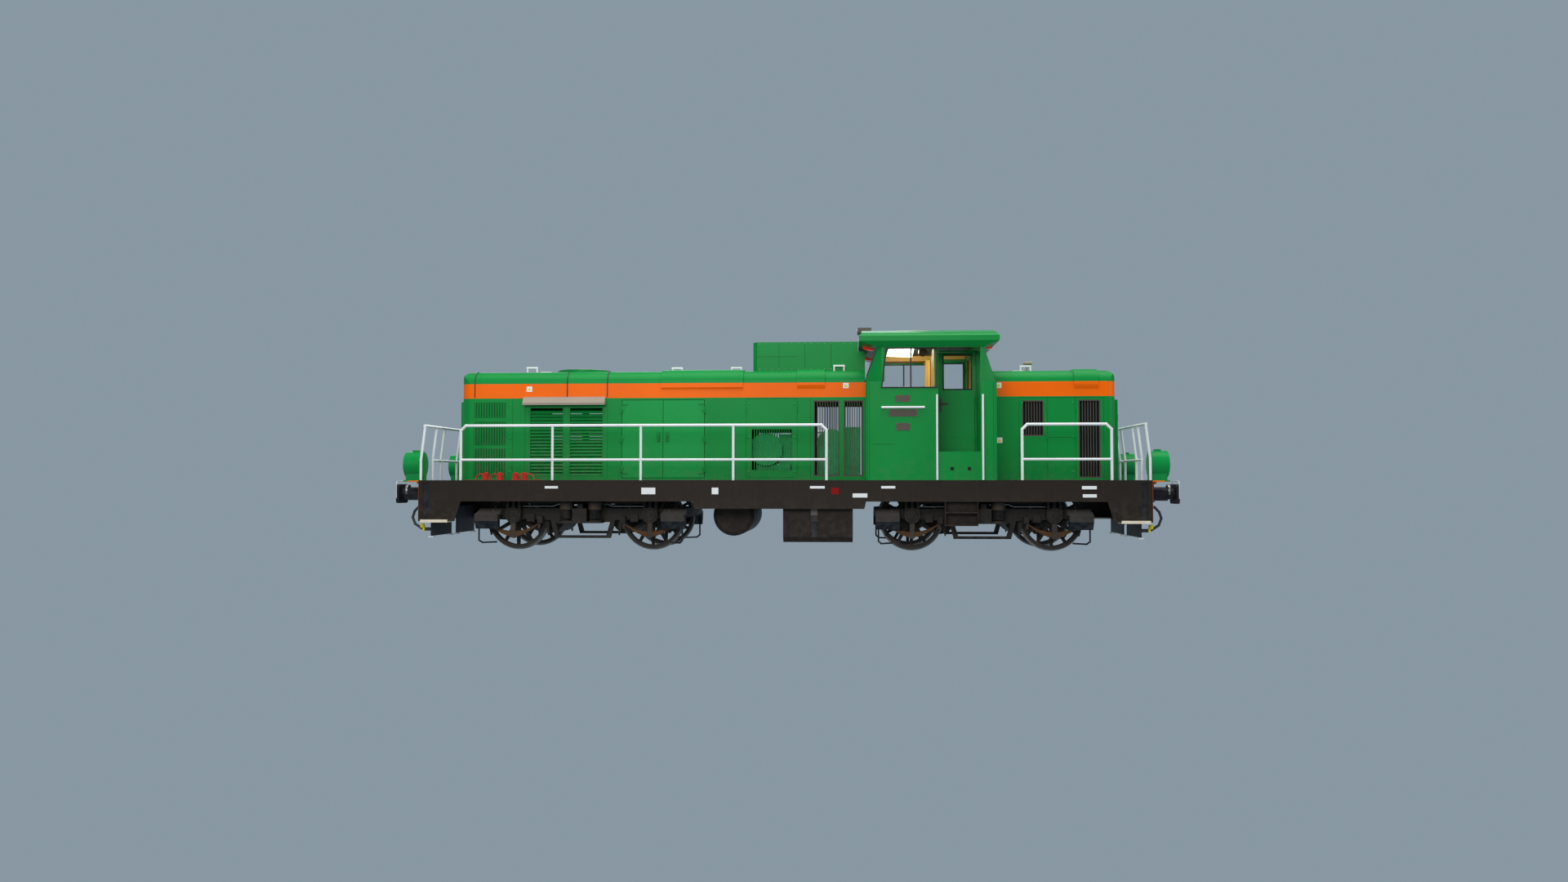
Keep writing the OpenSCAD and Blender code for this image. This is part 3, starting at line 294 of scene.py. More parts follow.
def soft_lamp(name, place, aim, size, power, tone):
    light = bpy.data.lights.new(name, "AREA")
    light.shape = "RECTANGLE"
    light.size, light.size_y = size
    light.energy = power
    light.color = tone
    lamp = bpy.data.objects.new(name, light)
    lamp.location = place
    lamp.rotation_euler = (Vector(aim) - Vector(place)).to_track_quat("-Z", "Y").to_euler()
    lamp.visible_camera = False
    bpy.context.scene.collection.objects.link(lamp)


def set_studio():
    clear()
    bpy.ops.mesh.primitive_grid_add(x_subdivisions=4, y_subdivisions=4, size=1,
                                    location=(0, 60, 0), scale=(260, 260, 1))
    floor = settle(bpy.context.object)
    floor.name = "floor"
    floor.data.materials.append(studio_floor())
    soft_lamp("top_light", (1, -3, 16), (0, 0, 1), (22, 12), 2600, (1.0, 0.99, 0.97))
    soft_lamp("side_light", (-4, -24, 9), (0, 0, 1.5), (18, 8), 2300, (1.0, 0.985, 0.96))
    soft_lamp("end_light", (24, -8, 8), (0, 0, 1.5), (8, 8), 900, (0.93, 0.96, 1.0))
    for side in BOTH:
        soft_lamp("cab_light", (2.2, side * 0.15, 3.70), (2.6, side * 1.4, 2.6), (0.5, 0.3), 12,
                  (1.0, 0.96, 0.88))
    soft_lamp("back_light", (-6, 22, 10), (0, 0, 2), (20, 8), 1100, (0.9, 0.95, 1.0))
    world = bpy.data.worlds.new("studio")
    world.use_nodes = True
    sky = world.node_tree.nodes["Background"]
    sky.inputs["Color"].default_value = (0.345, 0.435, 0.510, 1)
    sky.inputs["Strength"].default_value = 0.72
    bpy.context.scene.world = world
    bpy.context.scene.view_settings.view_transform = "Standard"


# ------------------------------------------------------------ paint shop

def group(name, takes, gives):
    """An empty shader group with its sockets; returns it with its two end nodes."""
    tree = bpy.data.node_groups.new(name, "ShaderNodeTree")
    kinds = {"c": "NodeSocketColor", "f": "NodeSocketFloat", "v": "NodeSocketVector"}
    for label, kind, start in takes:
        socket = tree.interface.new_socket(label, in_out="INPUT", socket_type=kinds[kind])
        if start is not None:
            socket.default_value = start
    for label, kind in gives:
        tree.interface.new_socket(label, in_out="OUTPUT", socket_type=kinds[kind])
    return tree, tree.nodes.new("NodeGroupInput"), tree.nodes.new("NodeGroupOutput")


class Bench:
    """Short ways to set and wire nodes in one tree."""

    def __init__(self, tree):
        self.tree = tree

    def link(self, source, target):
        if isinstance(source, (int, float)):
            target.default_value = source
        elif isinstance(source, tuple):
            target.default_value = source
        else:
            self.tree.links.new(source, target)

    def sum(self, kind, *values, clamp=False):
        node = self.tree.nodes.new("ShaderNodeMath")
        node.operation = kind
        node.use_clamp = clamp
        for socket, value in zip(node.inputs, values):
            self.link(value, socket)
        return node.outputs[0]

    def mix(self, amount, a, b, kind="MIX"):
        node = self.tree.nodes.new("ShaderNodeMix")
        node.data_type = "RGBA"
        node.blend_type = kind
        self.link(amount, node.inputs[0])
        self.link(a, node.inputs[6])
        self.link(b, node.inputs[7])
        return node.outputs[2]

    def noise(self, place, scale, detail=3, rough=0.5):
        node = self.tree.nodes.new("ShaderNodeTexNoise")
        self.link(place, node.inputs["Vector"])
        self.link(scale, node.inputs["Scale"])
        node.inputs["Detail"].default_value = detail
        node.inputs["Roughness"].default_value = rough
        return node.outputs[0]

    def mapped(self, place, scale=(1, 1, 1), shift=(0, 0, 0)):
        node = self.tree.nodes.new("ShaderNodeMapping")
        self.link(place, node.inputs["Vector"])
        node.inputs["Scale"].default_value = scale
        node.inputs["Location"].default_value = shift
        return node.outputs[0]

    def ramp(self, value, low, high):
        """0 below low, 1 above high, smooth between."""
        node = self.tree.nodes.new("ShaderNodeMapRange")
        node.interpolation_type = "SMOOTHSTEP"
        self.link(value, node.inputs["Value"])
        self.link(low, node.inputs["From Min"])
        self.link(high, node.inputs["From Max"])
        return node.outputs[0]

    def split(self, vector):
        node = self.tree.nodes.new("ShaderNodeSeparateXYZ")
        self.link(vector, node.inputs[0])
        return node.outputs

    def place(self):
        """The spot on the piece, and the way its surface faces."""
        node = self.tree.nodes.new("ShaderNodeTexCoord")
        return node.outputs["Object"], node.outputs["Normal"]


def make_weather():
    """Dust, streaks and tone on a painted surface, with a fine ripple in the paint."""
    tree, takes, gives = group(
        "weathered_paint",
        [("Place", "v", None), ("Facing", "v", None), ("Paint", "c", (0.5, 0.5, 0.5, 1)),
         ("Dust", "c", (0.16, 0.13, 0.10, 1)), ("Dirt", "f", 0.3), ("Low", "f", 0.0),
         ("High", "f", 1.5), ("Gloss", "f", 0.35)],
        [("Color", "c"), ("Roughness", "f"), ("Height", "f")])
    work = Bench(tree)
    spot, paint_in = takes.outputs["Place"], takes.outputs["Paint"]
    broad = work.noise(spot, 0.9, 4)
    mottle = work.noise(spot, 9.0, 4, 0.6)
    streaks = work.noise(work.mapped(spot, (14, 14, 0.7)), 1.0, 3, 0.6)
    ripple = work.noise(spot, 130.0, 1)
    _, _, height = work.split(spot)
    _, _, up = work.split(takes.outputs["Facing"])
    tone = work.sum("MULTIPLY_ADD", broad, 0.30, 0.85)
    tinted = work.mix(1.0, paint_in, tone, "MULTIPLY")
    grime = work.sum("SUBTRACT", 1.0,
                     work.ramp(height, takes.outputs["Low"], takes.outputs["High"]))
    settled = work.ramp(up, 0.55, 0.95)
    spread = work.sum("MULTIPLY", work.ramp(mottle, 0.38, 0.68),
                      work.sum("ADD", work.sum("MULTIPLY", grime, 0.9),
                               work.sum("MULTIPLY", settled, 0.45)))
    runs = work.sum("MULTIPLY", work.ramp(streaks, 0.56, 0.78), 0.30)
    dirty = work.sum("MULTIPLY", work.sum("ADD", spread, runs), takes.outputs["Dirt"],
                     clamp=True)
    work.link(work.mix(dirty, tinted, takes.outputs["Dust"]), gives.inputs["Color"])
    rough = work.sum("ADD", takes.outputs["Gloss"],
                     work.sum("MULTIPLY", dirty, 0.5))
    work.link(work.sum("ADD", rough, work.sum("MULTIPLY_ADD", mottle, 0.12, -0.06)),
              gives.inputs["Roughness"])
    work.link(work.sum("ADD", work.sum("MULTIPLY", ripple, 0.35),
                       work.sum("MULTIPLY", broad, 1.5)), gives.inputs["Height"])
    return tree


def make_flakes():
    """Chips and rust patches, as a mask and a colour."""
    tree, takes, gives = group(
        "rust_patches", [("Place", "v", None), ("Paint", "c", (0.5, 0.5, 0.5, 1)),
                         ("Amount", "f", 0.2), ("Size", "f", 12.0)],
        [("Color", "c"), ("Mask", "f")])
    work = Bench(tree)
    spot = takes.outputs["Place"]
    coarse = work.noise(spot, takes.outputs["Size"], 6, 0.7)
    limit = work.sum("SUBTRACT", 0.78, work.sum("MULTIPLY", takes.outputs["Amount"], 0.45))
    mask = work.ramp(coarse, limit, work.sum("ADD", limit, 0.05))
    fine = work.noise(spot, 60.0, 3, 0.7)
    rust = work.mix(fine, (0.055, 0.020, 0.008, 1), (0.23, 0.085, 0.025, 1))
    work.link(work.mix(mask, takes.outputs["Paint"], rust), gives.inputs["Color"])
    work.link(mask, gives.inputs["Mask"])
    return tree


WEATHER = make_weather()
FLAKES = make_flakes()


def new_finish(name):
    finish = bpy.data.materials.new(name)
    finish.use_nodes = True
    work = Bench(finish.node_tree)
    return finish, work, finish.node_tree.nodes["Principled BSDF"]


def put(work, tree, **values):
    """Places a group in a material and sets or wires its inputs."""
    node = work.tree.nodes.new("ShaderNodeGroup")
    node.node_tree = tree
    for name, value in values.items():
        work.link(value, node.inputs[name])
    return node.outputs


def raise_surface(work, shader, height, strength, distance):
    bump = work.tree.nodes.new("ShaderNodeBump")
    bump.inputs["Strength"].default_value = strength
    bump.inputs["Distance"].default_value = distance
    work.link(height, bump.inputs["Height"])
    work.link(bump.outputs["Normal"], shader.inputs["Normal"])


def weathered(name, colour, dirt=0.3, low=1.2, high=1.7, gloss=0.35, rust=0.0, size=12.0,
              dust=(0.16, 0.13, 0.10, 1), coat=0.0, colour_of=None, bump=0.25,
              sheen=0.12):
    """Paint with the age and dirt of its place on the locomotive."""
    finish, work, shader = new_finish(name)
    spot, facing = work.place()
    base = colour_of(work, spot) if colour_of else (*colour, 1)
    mask = 0.0
    if rust:
        flaked = put(work, FLAKES, Place=spot, Paint=base, Amount=rust, Size=size)
        base, mask = flaked["Color"], flaked["Mask"]
    aged = put(work, WEATHER, Place=spot, Facing=facing, Paint=base, Dust=dust, Dirt=dirt,
               Low=low, High=high, Gloss=gloss)
    work.link(aged["Color"], shader.inputs["Base Color"])
    rough = aged["Roughness"]
    if rust:
        rough = work.sum("MAXIMUM", rough, work.sum("MULTIPLY", mask, 0.85))
    work.link(rough, shader.inputs["Roughness"])
    shader.inputs["Coat Weight"].default_value = coat
    shader.inputs["Coat Roughness"].default_value = 0.12
    shader.inputs["Specular IOR Level"].default_value = sheen
    raise_surface(work, shader, aged["Height"], bump, 0.0012)
    return finish


def banded(work, spot):
    """Green with the orange band that runs round both hoods."""
    _, _, z = work.split(spot)
    inside = work.sum("MULTIPLY", work.ramp(z, 2.7795, 2.7825),
                      work.sum("SUBTRACT", 1.0, work.ramp(z, 3.0455, 3.0485)))
    return work.mix(inside, (*GREEN, 1), (*ORANGE, 1))


def white_below(level, colour):
    """A colour with white paint below a level."""
    def tips(work, spot):
        _, _, z = work.split(spot)
        return work.mix(work.ramp(z, level, level + 0.003), (0.80, 0.80, 0.78, 1), (*colour, 1))
    return tips


def two_greens(work, spot):
    """Green bars at the compressor and brown-grey bars on the other grilles."""
    x, _, _ = work.split(spot)
    return work.mix(work.ramp(x, 0.40, 0.42), (*DEEP_GREEN, 1), (0.085, 0.075, 0.060, 1))


def orange_below(work, spot):
    """Lamp green over orange brackets."""
    _, _, z = work.split(spot)
    return work.mix(work.ramp(z, 1.243, 1.245), (*ORANGE, 1), (0.004, 0.270, 0.055, 1))


def lids_with_painted_light(work, spot):
    """Sandbox paint with painted light: a paler painted highlight on the sloping top and bluish
    painted shade under the belly.
    """
    _, _, z = work.split(spot)
    painted_belly_shade = work.mix(work.ramp(z, 0.530, 0.545), (0.012, 0.015, 0.023, 1),
                     (0.050, 0.043, 0.037, 1))
    return work.mix(work.ramp(z, 0.650, 0.656), painted_belly_shade, (0.150, 0.135, 0.120, 1))


def sleeved(work, spot):
    """Dark wheel paint with a worn bright tread and flange."""
    x, _, z = work.split(spot)
    dx = work.sum("SUBTRACT", work.sum("ABSOLUTE", work.sum(
        "SUBTRACT", work.sum("ABSOLUTE", x), 3.6)), HALF_BASE)
    dz = work.sum("SUBTRACT", z, AXLE_Z)
    radius = work.sum("SQRT", work.sum("ADD", work.sum("MULTIPLY", dx, dx),
                                       work.sum("MULTIPLY", dz, dz)))
    grain = work.noise(work.mapped(spot, (3, 60, 3)), 4.0, 3)
    steel = work.mix(grain, (0.16, 0.15, 0.14, 1), (0.34, 0.32, 0.30, 1))
    tyre = work.mix(work.ramp(radius, 0.455, 0.465), (0.022, 0.019, 0.017, 1),
                    (0.040, 0.033, 0.028, 1))
    return work.mix(work.ramp(radius, 0.5455, 0.5475), tyre, steel)


GREEN = (0.0035, 0.250, 0.044)
DEEP_GREEN = (0.004, 0.225, 0.040)
ORANGE = (1.0, 0.150, 0.0)
BLACK_BROWN = (0.026, 0.018, 0.013)
WHITE = (0.86, 0.86, 0.84)


def studio_floor():
    finish, work, shader = new_finish("pale_floor")
    spot, _ = work.place()
    speck = work.noise(spot, 0.35, 3)
    work.link(work.mix(speck, (0.55, 0.585, 0.61, 1), (0.59, 0.62, 0.64, 1)),
              shader.inputs["Base Color"])
    shader.inputs["Roughness"].default_value = 0.85
    return finish


def clear_glass():
    finish, work, shader = new_finish("safety_glass")
    spot, _ = work.place()
    film = work.noise(spot, 3.0, 3)
    shader.inputs["Base Color"].default_value = (0.72, 0.80, 0.82, 1)
    shader.inputs["Transmission Weight"].default_value = 1.0
    shader.inputs["IOR"].default_value = 1.02
    shader.inputs["Specular IOR Level"].default_value = 0.5
    work.link(work.sum("MULTIPLY_ADD", film, 0.05, 0.0), shader.inputs["Roughness"])
    work.link(work.sum("MULTIPLY_ADD", film, 0.06, 0.10), shader.inputs["Alpha"])
    return finish


def lens_glass(name, colour, glow=0.0):
    """Moulded lens with upright ribs."""
    finish, work, shader = new_finish(name)
    spot, _ = work.place()
    _, y, _ = work.split(spot)
    ribs = work.sum("SINE", work.sum("MULTIPLY", y, 420.0))
    cloud = work.noise(spot, 16.0, 3)
    work.link(work.mix(cloud, (*[c * 0.75 for c in colour], 1), (*colour, 1)),
              shader.inputs["Base Color"])
    shader.inputs["Roughness"].default_value = 0.12
    shader.inputs["Coat Weight"].default_value = 0.6
    if glow:
        shader.inputs["Emission Color"].default_value = (*colour, 1)
        shader.inputs["Emission Strength"].default_value = glow
    raise_surface(work, shader, ribs, 0.5, 0.0010)
    return finish


def bare_metal(name, colour, rough=0.35, scale=(2, 2, 60)):
    finish, work, shader = new_finish(name)
    spot, _ = work.place()
    brushed = work.noise(work.mapped(spot, scale), 6.0, 3, 0.6)
    stain = work.noise(spot, 7.0, 4)
    work.link(work.mix(stain, (*[c * 0.6 for c in colour], 1), (*colour, 1)),
              shader.inputs["Base Color"])
    shader.inputs["Metallic"].default_value = 0.9
    work.link(work.sum("MULTIPLY_ADD", brushed, 0.25, rough - 0.1), shader.inputs["Roughness"])
    raise_surface(work, shader, brushed, 0.2, 0.0005)
    return finish


def rubber(name, colour=(0.018, 0.018, 0.019)):
    finish, work, shader = new_finish(name)
    spot, _ = work.place()
    grain = work.noise(spot, 220.0, 2)
    bloom = work.noise(spot, 5.0, 4)
    work.link(work.mix(work.ramp(bloom, 0.4, 0.7), (*colour, 1),
                       (*[c * 2.2 + 0.01 for c in colour], 1)), shader.inputs["Base Color"])
    work.link(work.sum("MULTIPLY_ADD", bloom, 0.2, 0.55), shader.inputs["Roughness"])
    raise_surface(work, shader, grain, 0.35, 0.0008)
    return finish


def grained(name, colour, scale=260.0, rough=0.55):
    """Moulded plastic or leathercloth with a cell grain."""
    finish, work, shader = new_finish(name)
    spot, _ = work.place()
    cells = work.tree.nodes.new("ShaderNodeTexVoronoi")
    cells.inputs["Scale"].default_value = scale
    work.link(spot, cells.inputs["Vector"])
    wear = work.noise(spot, 6.0, 4)
    work.link(work.mix(wear, (*[c * 0.75 for c in colour], 1), (*[c * 1.25 for c in colour], 1)),
              shader.inputs["Base Color"])
    work.link(work.sum("MULTIPLY_ADD", wear, 0.25, rough - 0.12), shader.inputs["Roughness"])
    raise_surface(work, shader, cells.outputs["Distance"], 0.4, 0.0008)
    return finish


F = {}


def mix_finishes():
    F["hood"] = weathered("hood_enamel", None, dirt=0.14, low=1.22, high=1.9, gloss=0.34,
                          colour_of=banded)
    F["cab"] = weathered("cab_enamel", GREEN, dirt=0.12, low=1.22, high=2.0, gloss=0.32)
    # Door green is lighter than the cab's green: painted light that offsets the roof's shadow over
    # the cab doors. The engine doors, panel locks and kick plates take it too.
    F["door"] = weathered("door_green_with_painted_light", (0.006, 0.300, 0.058), dirt=0.15, low=1.22, high=2.2,
                          gloss=0.34)
    F["slats"] = weathered("slat_enamel", DEEP_GREEN, dirt=0.4, low=1.2, high=2.6, gloss=0.38)
    F["grille"] = weathered("grille_enamel", None, dirt=0.3, low=1.2, high=2.4, gloss=0.42,
                            colour_of=two_greens)
    F["lamp"] = weathered("lamp_enamel", None, dirt=0.2, low=1.0, high=1.6, gloss=0.3,
                          colour_of=orange_below)
    F["frame"] = weathered("frame_paint", BLACK_BROWN, dirt=0.30, low=0.5, high=1.2,
                           gloss=0.48, rust=0.10, dust=(0.10, 0.08, 0.062, 1))
    F["bogie"] = weathered("bogie_paint", (0.028, 0.024, 0.021), dirt=0.55, low=0.1, high=1.1,
                           gloss=0.55, rust=0.22, dust=(0.095, 0.075, 0.058, 1))
    F["brake"] = weathered("brake_iron", (0.060, 0.048, 0.038), dirt=0.6, low=0.1, high=0.9,
                           gloss=0.6, rust=0.45, dust=(0.13, 0.10, 0.07, 1))
    # The sandbox finish paints a highlight on tops above Z 0.650 and bluish shade below Z 0.545.
    F["sand"] = weathered("sandbox_paint", None, dirt=0.3, low=0.2, high=1.0, gloss=0.5,
                          rust=0.15, dust=(0.17, 0.145, 0.12, 1), colour_of=lids_with_painted_light)
    F["spring"] = weathered("spring_steel", (0.120, 0.058, 0.022), dirt=0.35, low=0.1,
                            high=0.7, gloss=0.5, rust=0.55, size=30.0,
                            dust=(0.12, 0.09, 0.06, 1))
    F["coil"] = weathered("coil_enamel", (0.016, 0.015, 0.015), dirt=0.35, low=0.2, high=1.0,
                          gloss=0.38, rust=0.12, size=40.0)
    F["wheel"] = weathered("wheel_paint", None, dirt=0.35, low=0.0, high=0.9, gloss=0.45,
                           dust=(0.085, 0.058, 0.040, 1), colour_of=sleeved)
    F["plough"] = weathered("plough_paint", None, dirt=0.3, low=0.1, high=0.8, gloss=0.5,
                            rust=0.15, colour_of=white_below(0.262, (0.017, 0.020, 0.028)))
    # Buffer paint also serves as painted shade at the bottom of the frame's grooves.
    F["buffer"] = weathered("buffer_paint", (0.016, 0.018, 0.024), dirt=0.25, low=0.6,
                            high=1.3, gloss=0.35, rust=0.08)
    F["white"] = weathered("white_enamel", WHITE, dirt=0.18, low=1.2, high=1.9, gloss=0.30,
                           rust=0.04, size=26.0, coat=0.2)
    F["tread"] = weathered("tread_plate", (0.085, 0.075, 0.065), dirt=0.5, low=1.2, high=1.4,
                           gloss=0.55, rust=0.25, bump=0.6)
    F["patch"] = weathered("white_marking", (0.88, 0.87, 0.84), dirt=0.14, low=0.4, high=1.2,
                           gloss=0.42)
    F["cream"] = weathered("cream_marking", (0.88, 0.76, 0.56), dirt=0.2, low=0.3, high=1.0,
                           gloss=0.42)
    F["yellow"] = weathered("yellow_enamel", (0.85, 0.68, 0.02), dirt=0.2, low=0.2, high=0.9,
                            gloss=0.35)
    F["orange"] = weathered("orange_enamel", ORANGE, dirt=0.2, low=0.5, high=1.2, gloss=0.35)
    F["visor"] = weathered("visor_paint", (0.340, 0.280, 0.220), dirt=0.25, low=1.2, high=2.9,
                           gloss=0.45, dust=(0.20, 0.17, 0.14, 1))
    F["plate"] = weathered("plate_paint", (0.107, 0.087, 0.067), dirt=0.2, low=1.0, high=3.0,
                           gloss=0.42)
    F["dark_red"] = weathered("deep_red", (0.27, 0.0, 0.0), dirt=0.1, low=0.4, high=1.2,
                              gloss=0.4)
    F["shoe"] = weathered("shoe_red", (0.62, 0.016, 0.014), dirt=0.35, low=1.25, high=1.45,
                          gloss=0.42, rust=0.25, size=20.0)
    F["machine"] = weathered("machine_enamel", (0.045, 0.60, 0.19), dirt=0.35, low=1.2,
                             high=2.4, gloss=0.35, dust=(0.05, 0.06, 0.03, 1))
    F["machine_dark"] = weathered("machine_grey", (0.105, 0.085, 0.070), dirt=0.35, low=1.2,
                                  high=2.4, gloss=0.45)
    F["inside"] = weathered("cabin_cream", (0.92, 0.54, 0.13), dirt=0.12, low=1.7, high=2.2,
                            gloss=0.45)
    F["trim"] = weathered("trim_brown", (0.28, 0.075, 0.004), dirt=0.1, low=1.7, high=2.2,
                          gloss=0.35)
    F["ceiling"] = weathered("ceiling_paint", (0.070, 0.125, 0.080), dirt=0.1, low=1.0,
                             high=1.5, gloss=0.5)
    # Near black: real joints and needles, and painted shade in the louvre gaps, behind the grilles
    # and in the tie-down sockets.
    F["lining"] = weathered("dark_lining", (0.012, 0.014, 0.014), dirt=0.1, low=1.2, high=2.0,
                            gloss=0.6)
    F["globe"] = weathered("globe_grey", (0.13, 0.115, 0.105), dirt=0.1, low=1.0, high=1.5,
                           gloss=0.25, sheen=0.5)
    F["glass"] = clear_glass()
    F["red_lens"] = lens_glass("red_lens", (0.85, 0.020, 0.012), 0.25)
    F["lens"] = lens_glass("lamp_lens", (0.80, 0.78, 0.70))
    F["steel"] = bare_metal("worn_steel", (0.42, 0.40, 0.38))
    F["cast"] = bare_metal("cast_metal", (0.50, 0.50, 0.50), 0.5, (9, 9, 9))
    F["rubber"] = rubber("rubber")
    F["gasket"] = rubber("window_gasket", (0.020, 0.013, 0.013))
    F["plastic"] = grained("desk_plastic", (0.110, 0.090, 0.070))
    F["shell"] = grained("seat_plastic", (0.030, 0.030, 0.032), 300.0, 0.5)
    F["cover"] = grained("seat_leathercloth", (0.040, 0.036, 0.034), 420.0, 0.5)


def paint_frame():
    paint(["long_hood", "short_hood", "intake_housing", "fan_cowl"], F["hood"])
    paint(["cab_body", "cab_roof"], F["cab"])
    # The doors take the lightened green, painted light against the roof's shadow.
    paint(["cab_door_right", "cab_door_left", "engine_door_right_rear",
           "engine_door_right_front", "engine_door_left_rear", "engine_door_left_front"],
          F["door"])
    paint(["shutters"], F["slats"])
    paint(["side_grilles"], F["grille"])
    paint(["headlights"], F["lamp"])
    paint(["underframe", "fuel_tank", "air_reservoir", "draw_hooks", "cab_steps"], F["frame"])
    paint(["end_steps"], F["cream"])
    paint(["bogie_frame_front", "bogie_frame_rear", "traction_motors_front",
           "traction_motors_rear"], F["bogie"])
    # The sandboxes take the finish with a painted highlight on top and painted shade under the
    # belly.
    paint(["sandboxes_front", "sandboxes_rear"], F["sand"])
    paint(["wheelset_1", "wheelset_2", "wheelset_3", "wheelset_4"], F["wheel"])
    paint(["buffers"], F["buffer"])
    paint(["ploughs"], F["plough"])
    paint(["air_hoses"], F["rubber"])
    paint(["side_handrails", "end_handrails", "grab_rails", "lifting_loops"], F["white"])
    paint(["shutter_visors", "horn"], F["visor"])
    paint(["roof_headlight"], F["plate"])
    paint(["engine"], F["machine"])
    paint(["compressor"], F["machine"])
    paint(["cab_windows"], F["glass"])
    paint(["control_desk"], F["plastic"])
    paint(["driver_seats"], F["shell"])
    paint(["seat_pads"], F["cover"])
    paint(["tail_lamps"], F["red_lens"])
    paint(["drag_shoes"], F["shoe"])
    paint(["leaf_springs_front", "leaf_springs_rear"], F["spring"])
    paint(["coil_springs_front", "coil_springs_rear"], F["coil"])
    paint(["fan_rotor"], F["cast"])


set_camera()
mix_finishes()
set_studio()
paint_frame()


# ------------------------------------------------------------ hoods

def side_plate(x, z, lift=0.003, y=HOOD_Y, bevel=0.001):
    """A thin plate lying on the left side wall, to be mirrored."""
    return slab((x[0], y - 0.0005, z[0]), (x[1], y + lift, z[1]), bevel)


def hood_louvres():
    """Upright pressed louvres near the long hood's end, on a deep green backing, with dark strips
    in the gaps as painted shade.
    """
    tiers = [(2.42, 2.72), (1.92, 2.37), (1.33, 1.87)]
    backs = [side_plate((-5.700, -5.085), tier, 0.0015) for tier in tiers]
    fit_pair("louvre_backs", backs, F["slats"], slot="hood_paint")
    # Near-black strips between the fins: painted shade of the louvre openings.
    gap_shades = [side_plate((x - 0.005, x + 0.004), (low + 0.02, high - 0.02), 0.0022, bevel=0)
             for low, high in tiers for x in [-5.652 + 0.049 * i for i in range(12)]]
    fit_pair("louvre_gap_shades", gap_shades, F["lining"], slot="hood_paint")
    fins = []
    for low, high in tiers:
        fin = slab((-0.017, HOOD_Y, low + 0.006), (0.017, HOOD_Y + 0.013, high - 0.006), 0)
        pick(fin, lambda face: face.normal.y > 0.9)
        bpy.ops.transform.resize(value=(0.45, 1, 0.97),
                                 center_override=(0.010, HOOD_Y, (low + high) / 2))
        leave()
        shape(fin, "BEVEL", width=0.002, segments=1)
        fins.append(repeat(fin, [(-5.676 + 0.049 * i, 0, 0) for i in range(12)]))
    fit_pair("louvre_fins", fins, F["slats"], slot="slat_paint")


def hood_seams():
    """Dark joints round the side panels."""
    upright = [(-4.970, 1.30, 2.78), (-4.735, 1.30, 2.64), (-3.200, 1.30, 2.62),
               (-0.640, 1.30, 2.76), (0.290, 1.30, 2.76), (0.530, 1.30, 2.76),
               (4.290, 1.32, 2.76), (4.790, 1.32, 2.76), (5.290, 1.32, 2.76),
               (5.790, 1.32, 2.76)]
    level = [(-0.640, 0.290, 2.76), (-0.640, 0.290, 1.32), (4.290, 5.790, 2.76),
             (4.790, 5.290, 2.04)]
    seams = [side_plate((x - 0.002, x + 0.002), (low, high), 0.0012, bevel=0)
             for x, low, high in upright]
    seams += [side_plate((a, b), (z - 0.002, z + 0.002), 0.0012, bevel=0)
              for a, b, z in level]
    fit_pair("panel_seams", seams, F["lining"], slot="hood_paint")


def panel_locks():
    """Quarter-turn locks and butt hinges on the panels and doors that stay shut."""
    lock = turned([(0, 0.004), (0, 0.020), (0.003, 0.022), (0.006, 0.017), (0.006, 0.004)],
                  (0, HOOD_Y, 0), "Y", 14)
    slot_bar = slab((-0.014, HOOD_Y + 0.005, -0.002), (0.014, HOOD_Y + 0.009, 0.002), 0.001)
    lock = joined([lock, slot_bar])
    places = [(x, 0, z) for x in (-5.02, -0.59, 0.24, 4.34, 5.24) for z in (1.42, 2.05, 2.66)]
    fit("panel_locks", both_sides(repeat(lock, places)), F["door"], slot="hood_paint")
    leaf = slab((-0.018, HOOD_Y, -0.045), (0.018, HOOD_Y + 0.004, 0.045), 0.0015)
    pin = rod((0, HOOD_Y + 0.006, -0.050), (0, HOOD_Y + 0.006, 0.050), 0.007, 10, 0.002)
    hinge = joined([leaf, pin])
    places = [(x, 0, z) for x in (-4.970, -0.640, 0.290, 4.790, 5.290)
              for z in (1.55, 2.05, 2.55)]
    fit("panel_hinges", both_sides(repeat(hinge, places)), F["hood"], slot="hood_paint")


def roof_beads():
    """Rubber beads over the joints of the long hood's roof."""
    radius, top = 0.230, 3.280
    turn = [(HOOD_Y - radius + (radius + 0.002) * cos(a), top - radius + (radius + 0.002) * sin(a))
            for a in [radians(90 * i / 10) for i in range(11)]]
    half = [(HOOD_Y + 0.002, 2.80)] + turn
    arch = half + [(-y, z) for y, z in reversed(half)]
    beads = [pipe([(x, y, z) for y, z in arch], 0.009) for x in (-5.680, -3.949, -3.203)]
    fit("roof_beads", joined(beads), F["gasket"], slot="hose_rubber")


def blank_plates():
    """Small white plates with a yellow field, left blank."""
    spots = [(-4.66, 2.95), (1.175, 2.99), (3.925, 2.98), (3.935, 1.99)]
    plate = side_plate((-0.052, 0.052), (-0.048, 0.048), 0.002)
    fit("notice_plates", both_sides(repeat(plate, [(x, 0, z) for x, z in spots])),
        F["patch"], slot="rail_paint")
    clear()
    bpy.ops.mesh.primitive_cylinder_add(vertices=3, radius=0.040, depth=0.001,
                                        location=(0, HOOD_Y + 0.0024, -0.006),
                                        rotation=(pi / 2, 0, pi))
    field = settle(bpy.context.object)
    shape(field, "BEVEL", width=0.004, segments=2, affect="EDGES", limit_method="ANGLE",
          angle_limit=radians(100))
    take(field)
    bpy.ops.object.mode_set(mode="EDIT")
    bpy.ops.mesh.select_all(action="SELECT")
    bpy.ops.mesh.normals_make_consistent(inside=False)
    leave()
    fit("notice_fields", both_sides(repeat(field, [(x, 0, z) for x, z in spots])),
        F["yellow"], slot="rail_paint")


